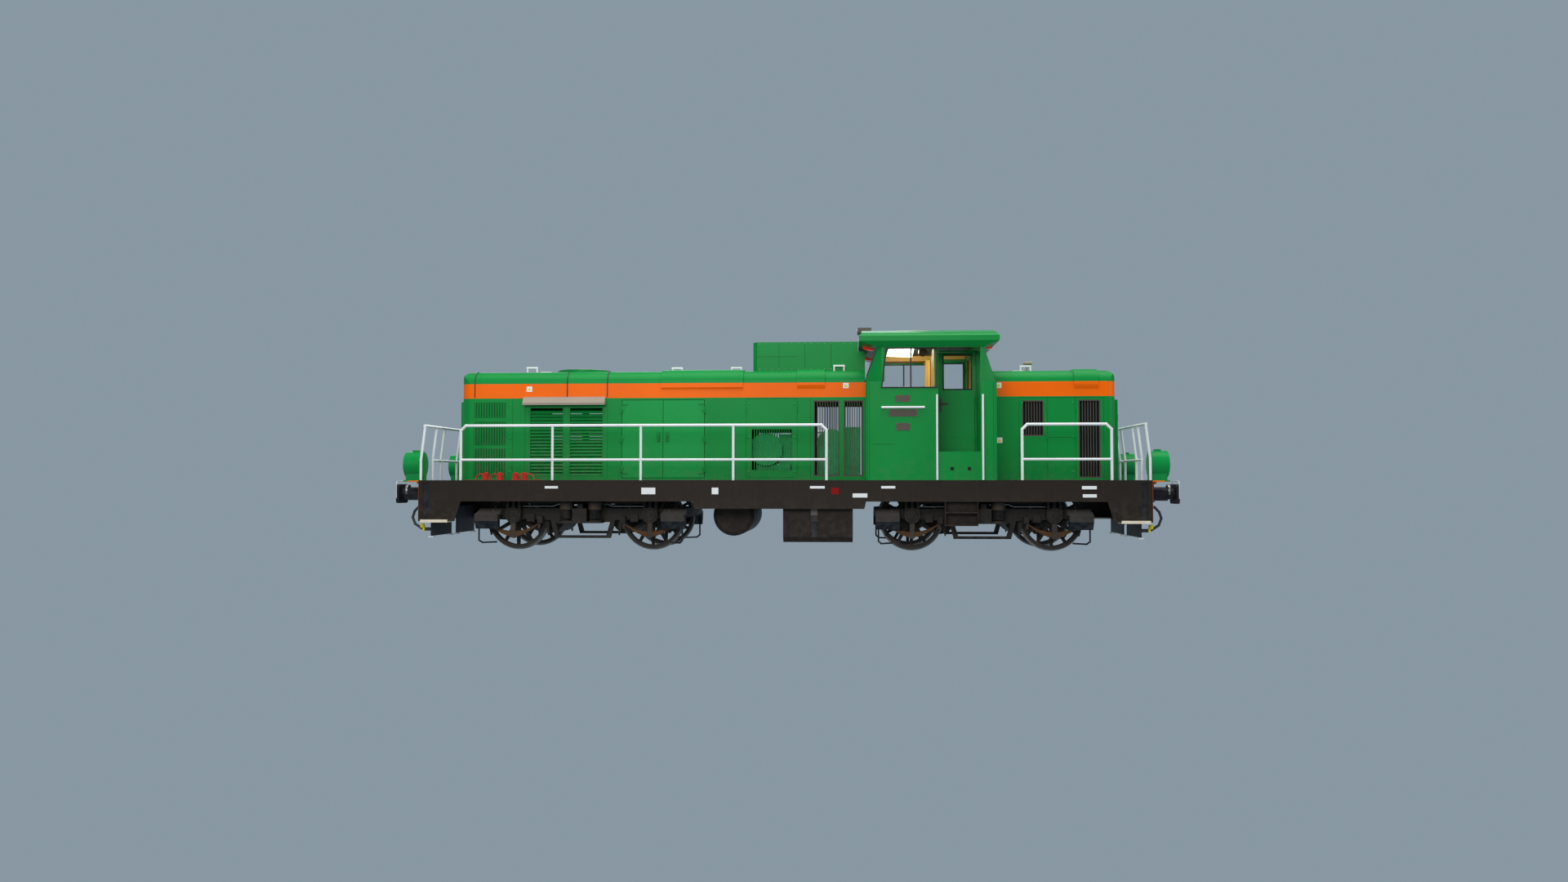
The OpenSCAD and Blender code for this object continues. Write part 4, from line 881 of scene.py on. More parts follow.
def engine_door_fittings():
    """A lever lock and a pull on each engine room door."""
    for name, side, x, way in [("right_rear", -1, -2.25, 1), ("right_front", -1, -2.09, -1),
                               ("left_rear", 1, -2.25, 1), ("left_front", 1, -2.09, -1)]:
        plate = slab((x - 0.035, 0.800, 1.98), (x + 0.035, 0.806, 2.16), 0.002)
        boss = rod((x, 0.804, 2.08), (x, 0.826, 2.08), 0.016, 16, 0.003)
        lever = slab((x - 0.010, 0.818, 1.985), (x + 0.010, 0.830, 2.095), 0.004, 2)
        pads = [slab((x - way * 0.62 - 0.05, 0.800, z - 0.012),
                     (x - way * 0.62 + 0.05, 0.808, z + 0.012), 0.003) for z in (1.40, 2.66)]
        piece = joined([plate, boss, lever] + pads)
        if side < 0:
            repeat(piece, [FLIP_Y])
        fit("door_lock_" + name, piece, F["slats"], "engine_door_" + name, "hood_paint")


def end_door_fittings():
    """Rims, hinges and handles of the doors in the hoods' outer ends."""
    for end, body_x in ((-1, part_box("long_hood")[0].x), (1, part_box("short_hood")[1].x)):
        face = abs(body_x)
        rim = [slab((face, y - 0.012, 1.36), (face + 0.006, y + 0.012, 2.66), 0.002)
               for y in (-0.50, 0.0, 0.50)]
        rim += [slab((face, -0.512, z - 0.012), (face + 0.006, 0.512, z + 0.012), 0.002)
                for z in (1.36, 2.66)]
        lever = rod((face + 0.030, 0.06, 1.98), (face + 0.030, 0.06, 2.16), 0.010, 12, 0.003)
        stems = [rod((face, 0.06, z), (face + 0.034, 0.06, z), 0.008, 10) for z in (1.99, 2.15)]
        hinges = repeat(rod((face + 0.004, 0.512, -0.06), (face + 0.004, 0.512, 0.06), 0.012,
                            12, 0.003), [(0, 0, 1.6), (0, 0, 2.0), (0, 0, 2.4),
                                         (0, -1.024, 1.6), (0, -1.024, 2.0), (0, -1.024, 2.4)])
        piece = joined(rim + [lever] + stems + [hinges])
        if end < 0:
            repeat(piece, [FLIP_X])
        fit("end_door_rear" if end < 0 else "end_door_front", piece, F["hood"],
            slot="hood_paint")


def intake_seams():
    """Sheet joints and rows of screws on the tall housing."""
    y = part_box("intake_housing")[1].y
    seams = [side_plate((x - 0.002, x + 0.002), (3.30, 3.81), 0.0012, y, 0)
             for x in (-0.06, 0.42, 0.90)]
    seams.append(side_plate((-0.46, 0.28), (3.548, 3.552), 0.0012, y, 0))
    fit_pair("housing_seams", seams, F["lining"], slot="hood_paint")
    head = turned([(0, 0.001), (0, 0.008), (0.003, 0.006), (0.004, 0.001)], (0, y, 0), "Y", 8)
    places = [(-0.42 + 0.12 * i, 0, z) for i in range(15) for z in (3.32, 3.79)]
    fit("housing_screws", both_sides(repeat(head, places)), F["steel"], slot="hood_paint")


# ------------------------------------------------------------ cab

SLOPE = 0.215 / (3.613 - 3.005)


def end_wall_x(z):
    """Outer face of the cab's front wall at a height above the waist."""
    return CAB_FRONT - SLOPE * (z - 3.005)


def window_gaskets():
    """Rubber round every fixed cab window, and the bars between the panes."""
    y = SILL_Y + 0.001
    side = [(1.808, y, 2.896), (2.776, y, 2.896), (2.776, y, 3.585), (1.887, y, 3.585)]
    rims = [both_sides(pipe(side, 0.018, 8, True))]
    bars = [slab((2.305, 1.462, 2.90), (2.331, 1.502, 3.58), 0.003)]
    mid = CAB_REAR + CAB_FRONT
    loop = [(end_wall_x(z) + 0.002, yy, z) for yy, z in
            ((0.86, 3.07), (1.26, 3.07), (1.26, 3.55), (0.86, 3.55))]
    front = pipe(loop, 0.013, 8, True)
    turn = Matrix.Translation((mid, 0, 0)) @ FLIP_X
    rims.append(repeat(front, [STAY, FLIP_Y, turn, turn @ FLIP_Y]))
    fit("window_gaskets", joined(rims + [both_sides(joined(bars))]), F["gasket"],
        slot="hose_rubber")


def wipers():
    """An arm and blade on each end window."""
    lean = Matrix.Translation((end_wall_x(3.06) + 0.020, 1.06, 3.045)) \
        @ Matrix.Rotation(-atan(SLOPE), 4, "Y")
    pivot = rod((-0.020, 0, 0), (0.016, 0, 0), 0.016, 14, 0.004)
    arm = slab((0.008, -0.008, 0.0), (0.014, 0.008, 0.34), 0.002)
    blade = slab((0.000, -0.006, 0.10), (0.010, 0.006, 0.47), 0.002)
    swing = Matrix.Rotation(radians(-14), 4, "X")
    piece = repeat(joined([pivot, arm, blade]), [lean @ swing])
    turn = Matrix.Translation((CAB_REAR + CAB_FRONT, 0, 0)) @ FLIP_X
    fit("wipers", repeat(piece, [STAY, FLIP_Y, turn, turn @ FLIP_Y]), F["rubber"],
        slot="hose_rubber")


def cab_plates():
    """Blank plates and the white grab bar on the cab's sides."""
    fields = [((2.044, 2.301), (2.644, 2.761)), ((1.929, 2.428), (2.385, 2.510)),
              ((2.057, 2.299), (2.142, 2.272))]
    plates = [side_plate(x, z, 0.006, SILL_Y, 0.002) for x, z in fields]
    fit_pair("blank_signs", plates, F["plate"], slot="housing_paint")
    head = turned([(0, 0.001), (0, 0.006), (0.002, 0.005), (0.003, 0.001)],
                  (0, SILL_Y + 0.006, 0), "Y", 8)
    places = [(x, 0, z) for (a, b), (low, high) in fields for x in (a + 0.014, b - 0.014)
              for z in (low + 0.014, high - 0.014)]
    fit("sign_screws", both_sides(repeat(head, places)), F["steel"], slot="housing_paint")
    bar = rod((1.800, SILL_Y + 0.045, 2.545), (2.557, SILL_Y + 0.045, 2.545), 0.020, 16, 0.006)
    feet = [rod((x, SILL_Y, 2.545), (x, SILL_Y + 0.045, 2.545), 0.013, 12)
            for x in (1.84, 2.18, 2.515)]
    fit("side_grab_bars", both_sides(joined([bar] + feet)), F["white"], slot="rail_paint")


def cab_seams():
    y = SILL_Y
    seams = [side_plate((x - 0.002, x + 0.002), (1.30, 2.99), 0.0012, y, 0)
             for x in (1.590, 3.750)]
    seams.append(side_plate((1.65, 2.05), (1.898, 1.902), 0.0012, y, 0))
    fit_pair("cab_seams", seams, F["lining"], slot="cab_paint")
    # Near-black sockets: painted shade in the holes, a dark sunken field in a dark rim.
    socket_shades = [pressed((x - 0.030, y - 0.001, 1.44), (x + 0.030, y + 0.003, 1.50), (0, 1, 0),
                     0.008, 0.002, 0.001) for x in (3.03, 3.33)]
    fit_pair("tie_down_sockets", socket_shades, F["lining"], slot="cab_paint")


def roof_fittings():
    """Lifting eyes, a vent cover and the drip rails over the doors."""
    eye = slab((-0.035, -0.030, 4.020), (0.035, 0.030, 4.062), 0.006, 2)
    fit("roof_eyes", repeat(eye, [(1.992, 0, 0), (3.263, 0, 0)]), F["cab"], slot="cab_paint")
    vent = pressed((2.084, -0.32, 4.020), (2.728, 0.32, 4.046), (0, 0, 1), 0.03, -0.008, 0.004)
    fit("roof_vent", vent, F["visor"], slot="visor_paint")
    rail = slab((1.62, 1.500, 3.600), (3.72, 1.516, 3.609), 0.002)
    fit_pair("drip_rails", [rail], F["cab"], slot="cab_paint")
    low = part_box("roof_headlight")[0]
    lens = turned([(0, 0.001), (0, 0.036), (-0.006, 0.032), (-0.012, 0.001)],
                  (low.x + 0.001, 0.09, low.z + 0.046), "X", 24)
    fit_pair("roof_lamp_lenses", [lens], F["lens"], slot="lamp_paint")
    ring = turned([(0, 0.036), (0, 0.042), (-0.008, 0.042), (-0.008, 0.036)],
                  (low.x, 0.09, low.z + 0.046), "X", 24)
    fit_pair("roof_lamp_rims", [ring], F["steel"], slot="lamp_paint")


def cab_door_fittings():
    """Glass, gasket, handle and kick plate of each cab door."""
    x0, x1, z0, z1 = 2.9355, 3.4405, 2.910, 3.535
    for name, side in (("right", -1), ("left", 1)):
        body = "cab_door_" + name
        flip = [STAY] if side > 0 else [FLIP_Y]
        pane = slab((x0 - 0.002, 0.776, z0 - 0.002), (x1 + 0.002, 0.784, z1 + 0.002), 0.001)
        fit("door_glass_" + name, repeat(pane, flip), F["glass"], body, "window_glass")
        corners = [(x0, z0), (x1, z0), (x1, z1), (x0, z1)]
        rims = [pipe([(x, y, z) for x, z in corners], 0.017, 8, True) for y in (0.761, 0.800)]
        fit("door_gasket_" + name, repeat(joined(rims), flip), F["gasket"], body,
            "hose_rubber")
        plate = slab((2.858, 0.800, 2.500), (2.906, 0.806, 2.740), 0.002)
        lever = slab((2.862, 0.822, 2.640), (3.020, 0.836, 2.668), 0.005, 2)
        stem = rod((2.882, 0.804, 2.654), (2.882, 0.828, 2.654), 0.012, 14)
        fit("door_handle_" + name, repeat(joined([plate, lever, stem]), flip), F["plate"],
            body, "housing_paint")
        kick = pressed((2.88, 0.799, 1.83), (3.455, 0.804, 2.05), (0, 1, 0), 0.012, 0.002)
        fit("kick_plate_" + name, repeat(kick, flip), F["door"], body, "cab_paint")


def cab_lining():
    """Boards and trims inside the cab."""
    wall = 1.436
    boards = [slab((1.62, wall - 0.012, 1.79), (2.73, wall, 2.884), 0.002)]
    boards += [slab((1.81, 1.362, 3.640), (3.53, 1.376, 3.748), 0.002)]
    boards += [slab((2.74, 0.724, 1.79), (2.826, 0.738, 3.60), 0.002),
               slab((3.508, 0.724, 1.79), (3.585, 0.738, 3.60), 0.002)]
    boards += [slab((2.720, 0.745, 1.79), (2.734, wall - 0.012, 3.60), 0.002)]
    fit_pair("cab_boards", boards, F["inside"], slot="cab_paint")
    ends = [slab((CAB_FRONT - 0.075, -1.42, 1.79), (CAB_FRONT - 0.063, 1.42, 2.98), 0.002),
            slab((CAB_REAR + 0.063, -1.42, 2.74), (CAB_REAR + 0.075, 1.42, 2.98), 0.002)]
    fit("cab_end_boards", joined(ends), F["inside"], slot="cab_paint")
    trims = [slab((1.79, 1.352, z - 0.016), (3.54, 1.378, z + 0.016), 0.004)
             for z in (3.628, 3.762)]
    trims += [slab((1.62, wall - 0.022, 2.868), (2.72, wall - 0.004, 2.892), 0.004)]
    trims += [slab((x - 0.016, 0.716, 1.79), (x + 0.016, 0.740, 3.59), 0.004)
              for x in (2.812, 3.522)]
    fit_pair("cab_trims", trims, F["trim"], slot="cab_paint")
    panels = [slab((1.815 + 0.434 * i, -1.350, 3.764), (2.240 + 0.434 * i, 1.350, 3.776), 0.004)
              for i in range(4)]
    fit("cab_ceiling", joined(panels), F["ceiling"], slot="cab_paint")
    lamp = turned([(0, 0.002), (0, 0.060), (-0.020, 0.066), (-0.050, 0.046), (-0.085, 0.040),
                   (-0.085, 0.002)], (2.577, -0.6, 3.764), "Z", 28)
    fit("ceiling_lamp_base", lamp, F["cream"], slot="housing_paint")
    clear()
    bpy.ops.mesh.primitive_uv_sphere_add(segments=28, ring_count=16, radius=0.082,
                                         location=(2.577, -0.6, 3.610))
    globe = settle(bpy.context.object)
    pick(globe, lambda face: face.center.z > 3.672)
    bpy.ops.transform.resize(value=(0.8, 0.8, 1), center_override=(2.577, -0.6, 3.672))
    leave()
    bpy.ops.object.shade_smooth_by_angle(angle=radians(60))
    fit("ceiling_lamp_globe", globe, F["globe"], slot="housing_paint")


def desk_fittings():
    """Dials, levers and switches on the control desk, left without lettering."""
    low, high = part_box("control_desk")
    top = high.z
    hood = slab((low.x + 0.03, -0.78, top), (low.x + 0.17, 0.78, top + 0.150), 0.012, 3)
    fit("dial_hood", hood, F["plastic"], slot="desk_plastic")
    face = low.x + 0.170
    bezel = turned([(0, 0.040), (0, 0.055), (0.012, 0.055), (0.016, 0.050), (0.010, 0.040)],
                   (face, 0, top + 0.080), "X", 28)
    places = [(0, -0.64 + 0.16 * i, 0) for i in range(9)]
    fit("dial_bezels", repeat(bezel, places), F["steel"], slot="desk_plastic")
    dial = turned([(0, 0.001), (0, 0.041), (0.004, 0.041), (0.005, 0.001)],
                  (face, 0, top + 0.080), "X", 24)
    fit("dial_faces", repeat(dial, places), F["patch"], slot="desk_plastic")
    needle = slab((face + 0.006, -0.002, top + 0.078), (face + 0.008, 0.002, top + 0.114), 0)
    spins = [Matrix.Translation((0, y, top + 0.080)) @ Matrix.Rotation(radians(a), 4, "X")
             @ Matrix.Translation((0, 0, -top - 0.080))
             for (_, y, _), a in zip(places, (-120, -60, -130, 20, -90, -140, 45, -100, -30))]
    fit("dial_needles", repeat(needle, spins), F["lining"], slot="desk_plastic")
    x = high.x - 0.13
    stem = rod((x, 0.5, top), (x + 0.03, 0.5, top + 0.16), 0.008, 12)
    gate = pressed((x - 0.09, 0.46, top), (x + 0.09, 0.54, top + 0.012), (0, 0, 1), 0.012, 0.004)
    knob = turned([(-0.03, 0.001), (-0.022, 0.020), (0, 0.027), (0.022, 0.020), (0.03, 0.001)],
                  (x + 0.032, 0.5, top + 0.175), "Z", 20)
    levers = repeat(joined([stem, gate, knob]), [(0, 0, 0), (0, 0.24, 0), (0, -1.0, 0),
                                                (0, -1.24, 0)])
    fit("driving_levers", levers, F["rubber"], slot="desk_plastic")
    switch = turned([(0, 0.002), (0, 0.013), (0.010, 0.011), (0.022, 0.005), (0.022, 0.002)],
                    (x, 0, top), "Z", 12)
    fit("desk_switches", repeat(switch, [(0.06 * (i % 2), -0.30 + 0.05 * i, 0)
                                         for i in range(13)]), F["cast"], slot="desk_plastic")


def seat_cushions():
    """Stuffed covers over the seats' pads, puffed up by their filling."""
    for name, low, high in (("seat", (2.120, 0.500, 2.225), (2.470, 0.940, 2.305)),
                            ("back", (2.480, 0.500, 2.235), (2.560, 0.940, 2.745))):
        inset = 0.010
        pad = slab([a + inset for a in low], [b - inset for b in high], 0.020, 3)
        shape(pad, "REMESH", mode="VOXEL", voxel_size=0.008)
        start = [v.co.copy() for v in pad.data.vertices]
        take(pad)
        cloth = pad.modifiers.new("Cloth", "CLOTH")
        cloth.settings.use_pressure = True
        cloth.settings.uniform_pressure_force = 4
        cloth.settings.effector_weights.gravity = 0
        cloth.settings.quality = 4
        cloth.point_cache.frame_end = 20
        for step in range(1, 21):
            bpy.context.scene.frame_set(step)
        bpy.ops.object.modifier_apply(modifier="Cloth")
        bpy.context.scene.frame_set(1)
        for v, was in zip(pad.data.vertices, start):
            move = v.co - was
            if move.length > 0.014:
                v.co = was + move.normalized() * 0.014
            for i in range(3):
                v.co[i] = min(max(v.co[i], low[i] - 0.004), high[i] + 0.010)
        shape(pad, "SUBSURF", levels=1, render_levels=1)
        bpy.ops.object.shade_smooth()
        seam = (high[2] + low[2]) / 2 if name == "seat" else (high[0] + low[0]) / 2
        if name == "seat":
            loop = [(low[0] - 0.001, low[1] + 0.02), (low[0] - 0.001, high[1] - 0.02),
                    (low[0] + 0.02, high[1] + 0.003), (high[0] - 0.02, high[1] + 0.003),
                    (high[0] + 0.001, high[1] - 0.02), (high[0] + 0.001, low[1] + 0.02),
                    (high[0] - 0.02, low[1] - 0.003), (low[0] + 0.02, low[1] - 0.003)]
            welt = pipe([(x, y, seam) for x, y in loop], 0.005, 8, True)
        else:
            loop = [(low[1] - 0.003, low[2] + 0.02), (low[1] - 0.003, high[2] - 0.02),
                    (low[1] + 0.02, high[2] + 0.003), (high[1] - 0.02, high[2] + 0.003),
                    (high[1] + 0.003, high[2] - 0.02), (high[1] + 0.003, low[2] + 0.02),
                    (high[1] - 0.02, low[2] - 0.003), (low[1] + 0.02, low[2] - 0.003)]
            welt = pipe([(seam, y, z) for y, z in loop], 0.005, 8, True)
        for side, flip in (("left", [STAY]), ("right", [FLIP_Y])):
            both = joined([twin_of(pad), twin_of(welt)])
            piece = fit(f"{name}_cushion_{side}", repeat(both, flip), F["cover"],
                        slot="seat_cover")
            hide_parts("seat_pads")
        for extra in (pad, welt):
            bpy.data.objects.remove(extra)


# ------------------------------------------------------------ hoods' open ends and machinery

def fan_guard():
    """Rings and spokes over the cooling fan, and the motor's seat."""
    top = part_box("fan_cowl")[1].z
    x, z = -3.8, top + 0.004
    rings = []
    for radius in (0.10, 0.18, 0.26, 0.34, 0.42, 0.495):
        clear()
        bpy.ops.mesh.primitive_torus_add(location=(x, 0, z), major_radius=radius,
                                         minor_radius=0.005, major_segments=56,
                                         minor_segments=8)
        rings.append(settle(bpy.context.object))
    bars = [rod((x + 0.09 * cos(a), 0.09 * sin(a), z - 0.003),
                (x + 0.505 * cos(a), 0.505 * sin(a), z - 0.003), 0.006, 8)
            for a in [radians(45 * i) for i in range(8)]]
    cap = turned([(0, 0.001), (0, 0.11), (0.006, 0.10), (0.008, 0.001)], (x, 0, z), "Z", 32)
    fit("fan_guard", joined(rings + bars + [cap]), F["cast"], slot="fan_metal")
    bolt = turned([(0, 0.001), (0, 0.010), (0.006, 0.008), (0.007, 0.001)],
                  (x + 0.53, 0, top), "Z", 6)
    spins = [Matrix.Translation((x, 0, 0)) @ Matrix.Rotation(radians(22.5 + 45 * i), 4, "Z")
             @ Matrix.Translation((-x, 0, 0)) for i in range(8)]
    fit("fan_bolts", repeat(bolt, spins), F["steel"], slot="fan_metal")


def engine_dress():
    """Heads, pipes and filters on the engine."""
    low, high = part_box("engine")
    top = high.z
    span = high.x - low.x - 0.5
    cover = slab((low.x + 0.26, 0.05, top - 0.10), (low.x + 0.26 + span / 7, 0.26, top + 0.03),
                 0.015, 2)
    fit("rocker_covers", both_sides(repeat(cover, [(span / 6 * i, 0, 0) for i in range(6)])),
        F["machine"], slot="machine_paint")
    edge = 0.42
    log = pipe([(low.x + 0.30, edge, top - 0.20), (high.x - 0.40, edge, top - 0.20)], 0.055, 12)
    stubs = repeat(rod((low.x + 0.40, 0.22, top - 0.16), (low.x + 0.40, edge, top - 0.20), 0.030,
                       12), [(span / 6 * i, 0, 0) for i in range(6)])
    fit("exhaust_logs", both_sides(joined([log, stubs])), F["spring"], slot="machine_paint")
    filters = [rod((low.x + 0.50 + 0.17 * i, 0.52, 1.72), (low.x + 0.50 + 0.17 * i, 0.52, 1.98),
                   0.055, 20, 0.008) for i in range(3)]
    lines = [pipe([(low.x + 0.42, 0.50, 2.02), (low.x + 0.95, 0.50, 2.02),
                   (low.x + 1.02, 0.48, 1.90), (low.x + 1.02, 0.44, 1.50)], 0.016, 10),
             pipe([(low.x + 1.15, 0.50, 2.25), (high.x - 0.35, 0.50, 2.25),
                   (high.x - 0.30, 0.50, 2.18), (high.x - 0.30, 0.46, 1.60)], 0.012, 10)]
    fit("engine_filters", both_sides(joined(filters + lines)), F["machine_dark"],
        slot="machine_paint")


# ------------------------------------------------------------ underframe

def sill_markings():
    """White jacking marks and one red mark painted on the sills."""
    marks = [(-4.175, -3.939, 1.123, 1.166), (-2.440, -2.191, 1.022, 1.138),
             (-1.187, -1.070, 1.023, 1.138), (0.548, 0.807, 1.124, 1.167),
             (1.295, 1.552, 0.967, 1.038), (1.796, 2.039, 1.125, 1.168),
             (5.263, 5.515, 1.112, 1.168), (5.276, 5.514, 0.970, 1.026)]
    fields = [side_plate((a, b), (low, high), 0.0015, SILL_Y, 0) for a, b, low, high in marks]
    fit_pair("sill_marks", fields, F["patch"])
    fit("red_marks", both_sides(side_plate((0.922, 1.051), (1.024, 1.139), 0.0015, SILL_Y, 0)),
        F["dark_red"])
    strips = [side_plate((-4.180, -3.930), (1.105, 1.110), 0.0015, SILL_Y, 0)]
    fit_pair("sill_seam", strips, F["lining"])


def deck_edges():
    """Tread pattern boards on the walkways and the rolled edge of the deck."""
    start = -5.68
    boards = [slab((start + 0.003 + 1.08 * i, 0.830, DECK),
                   (start + 1.077 + 1.08 * i, 1.420, DECK + 0.005), 0.001)
              for i in range(6)]
    boards += [slab((4.03 + 0.58 * i, 0.830, DECK), (4.607 + 0.58 * i, 1.420, DECK + 0.005),
                    0.001) for i in range(3)]
    fit_pair("tread_plates", boards, F["tread"])
    edge = [side_plate((-BEAM_X + 0.004, BEAM_X - 0.004), (DECK - 0.036, DECK - 0.031), 0.0015,
                       SILL_Y, 0)]
    fit_pair("deck_edge", edge, F["lining"])
    head = turned([(0, 0.001), (0, 0.016), (0.006, 0.014), (0.009, 0.001)],
                  (0, SILL_Y, 0), "Y", 8)
    spots = [(-5.55 + 0.74 * i, 0, 1.20) for i in range(16)]
    fit("sill_rivets", both_sides(repeat(head, spots)), F["frame"])


def sill_ends():
    """Bolts, orange edges and dark strips of painted shade in the grooves at the frame's corners.
    """
    # A dark bluish strip at the bottom of each groove: painted shade in the recess.
    groove_shade = slab((6.285, SILL_Y - 0.0155, 0.574), (6.385, SILL_Y - 0.013, 1.226), 0)
    fit("groove_shade_strips", four_ways(groove_shade), F["buffer"])
    bolt = turned([(0, 0.001), (0, 0.017), (0.010, 0.017), (0.012, 0.010), (0.012, 0.001)],
                  (BEAM_X, 0, 0), "X", 6)
    spots = [(0, y, z) for y in (0.72, 1.02) for z in (0.93, 1.23)]
    spots += [(0, y, z) for y in (0.30, 1.42) for z in (0.62, 0.80, 1.00, 1.18)]
    fit("beam_bolts", four_ways(repeat(bolt, spots)), F["steel"])
    edge = slab((BEAM_X, 1.488, 0.545), (BEAM_X + 0.003, 1.4995, 1.235), 0.001)
    fit("beam_edges", four_ways(edge), F["orange"])


def buffer_dress():
    """White rims, a shank ring and bolts of the buffers."""
    y, z = 0.875, 1.080
    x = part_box("buffers")[1].x
    corner, half_w, half_h = 0.060, 0.230, 0.1735
    turn = [(half_w - corner + corner * cos(a), half_h - corner + corner * sin(a))
            for a in [radians(15 * i) for i in range(7)]]
    loop = turn + [(-a, b) for a, b in reversed(turn)] + [(-a, -b) for a, b in turn] \
        + [(a, -b) for a, b in reversed(turn)]
    path = [(x - 0.008, y + a * 0.996, z + b * 0.996) for a, b in loop]
    fit("buffer_rims", four_ways(pipe(path, 0.0075, 8, True)), F["white"],
        slot="buffer_paint")
    ring = turned([(-0.165, 0.086), (-0.165, 0.112), (-0.150, 0.118), (-0.130, 0.118),
                   (-0.115, 0.112), (-0.115, 0.086)], (x, y, z), "X", 40)
    fit("buffer_rings", four_ways(ring), F["steel"], slot="buffer_paint")
    bolt = turned([(0.022, 0.001), (0.022, 0.018), (0.034, 0.018), (0.037, 0.010),
                   (0.037, 0.001)], (BEAM_X, 0, 0), "X", 6)
    spots = [(0, y + a, z + b) for a in (-0.150, 0.150) for b in (-0.150, 0.150)]
    fit("buffer_bolts", four_ways(repeat(bolt, spots)), F["steel"], slot="buffer_paint")


def lamp_dress():
    """Rims, glass, bands and orange braces of the headlights."""
    y, z = 1.200, 1.550
    x = BEAM_X + 0.315
    rim = turned([(-0.034, 0.190), (-0.034, 0.178), (0.008, 0.178), (0.010, 0.186),
                  (0.010, 0.210), (0.004, 0.216), (-0.002, 0.216), (-0.002, 0.190)],
                 (x, y, z), "X", 56)
    fit("lamp_rims", four_ways(rim), F["visor"], slot="lamp_paint")
    glass = turned([(-0.016, 0.001), (-0.016, 0.180), (-0.010, 0.180), (0.000, 0.120),
                    (0.004, 0.001)], (x, y, z), "X", 48)
    fit("lamp_lenses", four_ways(glass), F["lens"], slot="lamp_paint")
    band = turned([(-0.206, 0.2352), (-0.206, 0.2385), (-0.180, 0.2385), (-0.180, 0.2352)],
                  (x, y, z), "X", 56)
    lug = slab((x - 0.204, y - 0.015, z + 0.236), (x - 0.182, y + 0.015, z + 0.262), 0.003)
    fit("lamp_bands", four_ways(joined([band, lug])), F["lamp"], slot="lamp_paint")
    brace = slab((BEAM_X, 1.488, 1.246), (BEAM_X + 0.20, 1.4995, 1.262), 0.002)
    fit("lamp_braces", four_ways(brace), F["orange"], slot="lamp_paint")


def hose_ends():
    """Yellow couplings and clamps on the brake hoses."""
    x, y = BEAM_X, 1.160
    clamp = turned([(0.055, 0.026), (0.055, 0.034), (0.085, 0.034), (0.085, 0.026)],
                   (x, y, 0.800), "X", 24)
    handle = slab((x + 0.015, y - 0.010, 0.835), (x + 0.040, y + 0.010, 0.925), 0.004)
    collar = turned([(-0.070, 0.026), (-0.070, 0.038), (-0.010, 0.042), (0.005, 0.034),
                     (0.005, 0.026)], (x + 0.045, y, 0.480), "Z", 24)
    claw = slab((x - 0.010, y - 0.045, 0.350), (x + 0.030, y + 0.045, 0.420), 0.014, 3)
    fit("hose_couplings", four_ways(joined([collar, claw, handle])), F["yellow"],
        slot="hose_rubber")
    fit("hose_clamps", four_ways(clamp), F["steel"], slot="hose_rubber")


def tank_dress():
    """Strap, seams and filler of the fuel tank."""
    low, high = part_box("fuel_tank")
    y = high.y
    strap = side_plate((0.557, 0.673), (low.z + 0.09, high.z - 0.004), 0.004, y, 0.001)
    # The straps take the sandbox finish, with its painted highlight high up and painted shade low
    # down.
    fit_pair("tank_straps", [strap], F["sand"])
    seams = [side_plate((x - 0.004, x + 0.004), (low.z + 0.12, high.z - 0.01), 0.003, y, 0.001)
             for x in (0.16, 1.20)]
    cap = turned([(-0.02, 0.055), (0.016, 0.055), (0.030, 0.045), (0.030, 0.001),
                  (-0.02, 0.001)], (1.06, y, high.z - 0.13), "Y", 28)
    fit("tank_seams", both_sides(joined(seams + [cap])), F["frame"])


# ------------------------------------------------------------ bogies

def coils():
    """Wound springs between the seats and the cups."""
    rise, radius, wire, turns = 0.223, 0.088, 0.019, 5.5
    steps = int(turns * 22)
    path = []
    for i in range(steps + 1):
        share = i / steps
        a = tau * turns * share
        path.append((radius * cos(a), radius * sin(a), wire + (rise - 2 * wire) * share))
    wound = pipe(path, wire, 8)
    inner = pipe([(0.047 * cos(-a), 0.047 * sin(-a), 0.012 + (rise - 0.024) * a / (tau * 7))
                  for a in [tau * 7 * i / 112 for i in range(113)]], 0.010, 8)
    seat = turned([(0, 0.030), (0, 0.108), (0.010, 0.108), (0.014, 0.098), (0.014, 0.030)],
                  (0, 0, 0), "Z", 32)
    cup = turned([(0.223, 0.001), (0.223, 0.104), (0.205, 0.108), (0.205, 0.117),
                  (0.336, 0.117), (0.353, 0.100), (0.353, 0.001)], (0, 0, 0), "Z", 40)
    spring = joined([wound, inner])
    caps = joined([seat, cup])
    fit_bogies([("coils_", spring, F["coil"]), ("cups_", caps, F["brake"])], "coil_steel",
               lambda middle: [(middle + a * 0.260, b * 1.180, 0.534)
                               for a in BOTH for b in BOTH], "coil_springs_")


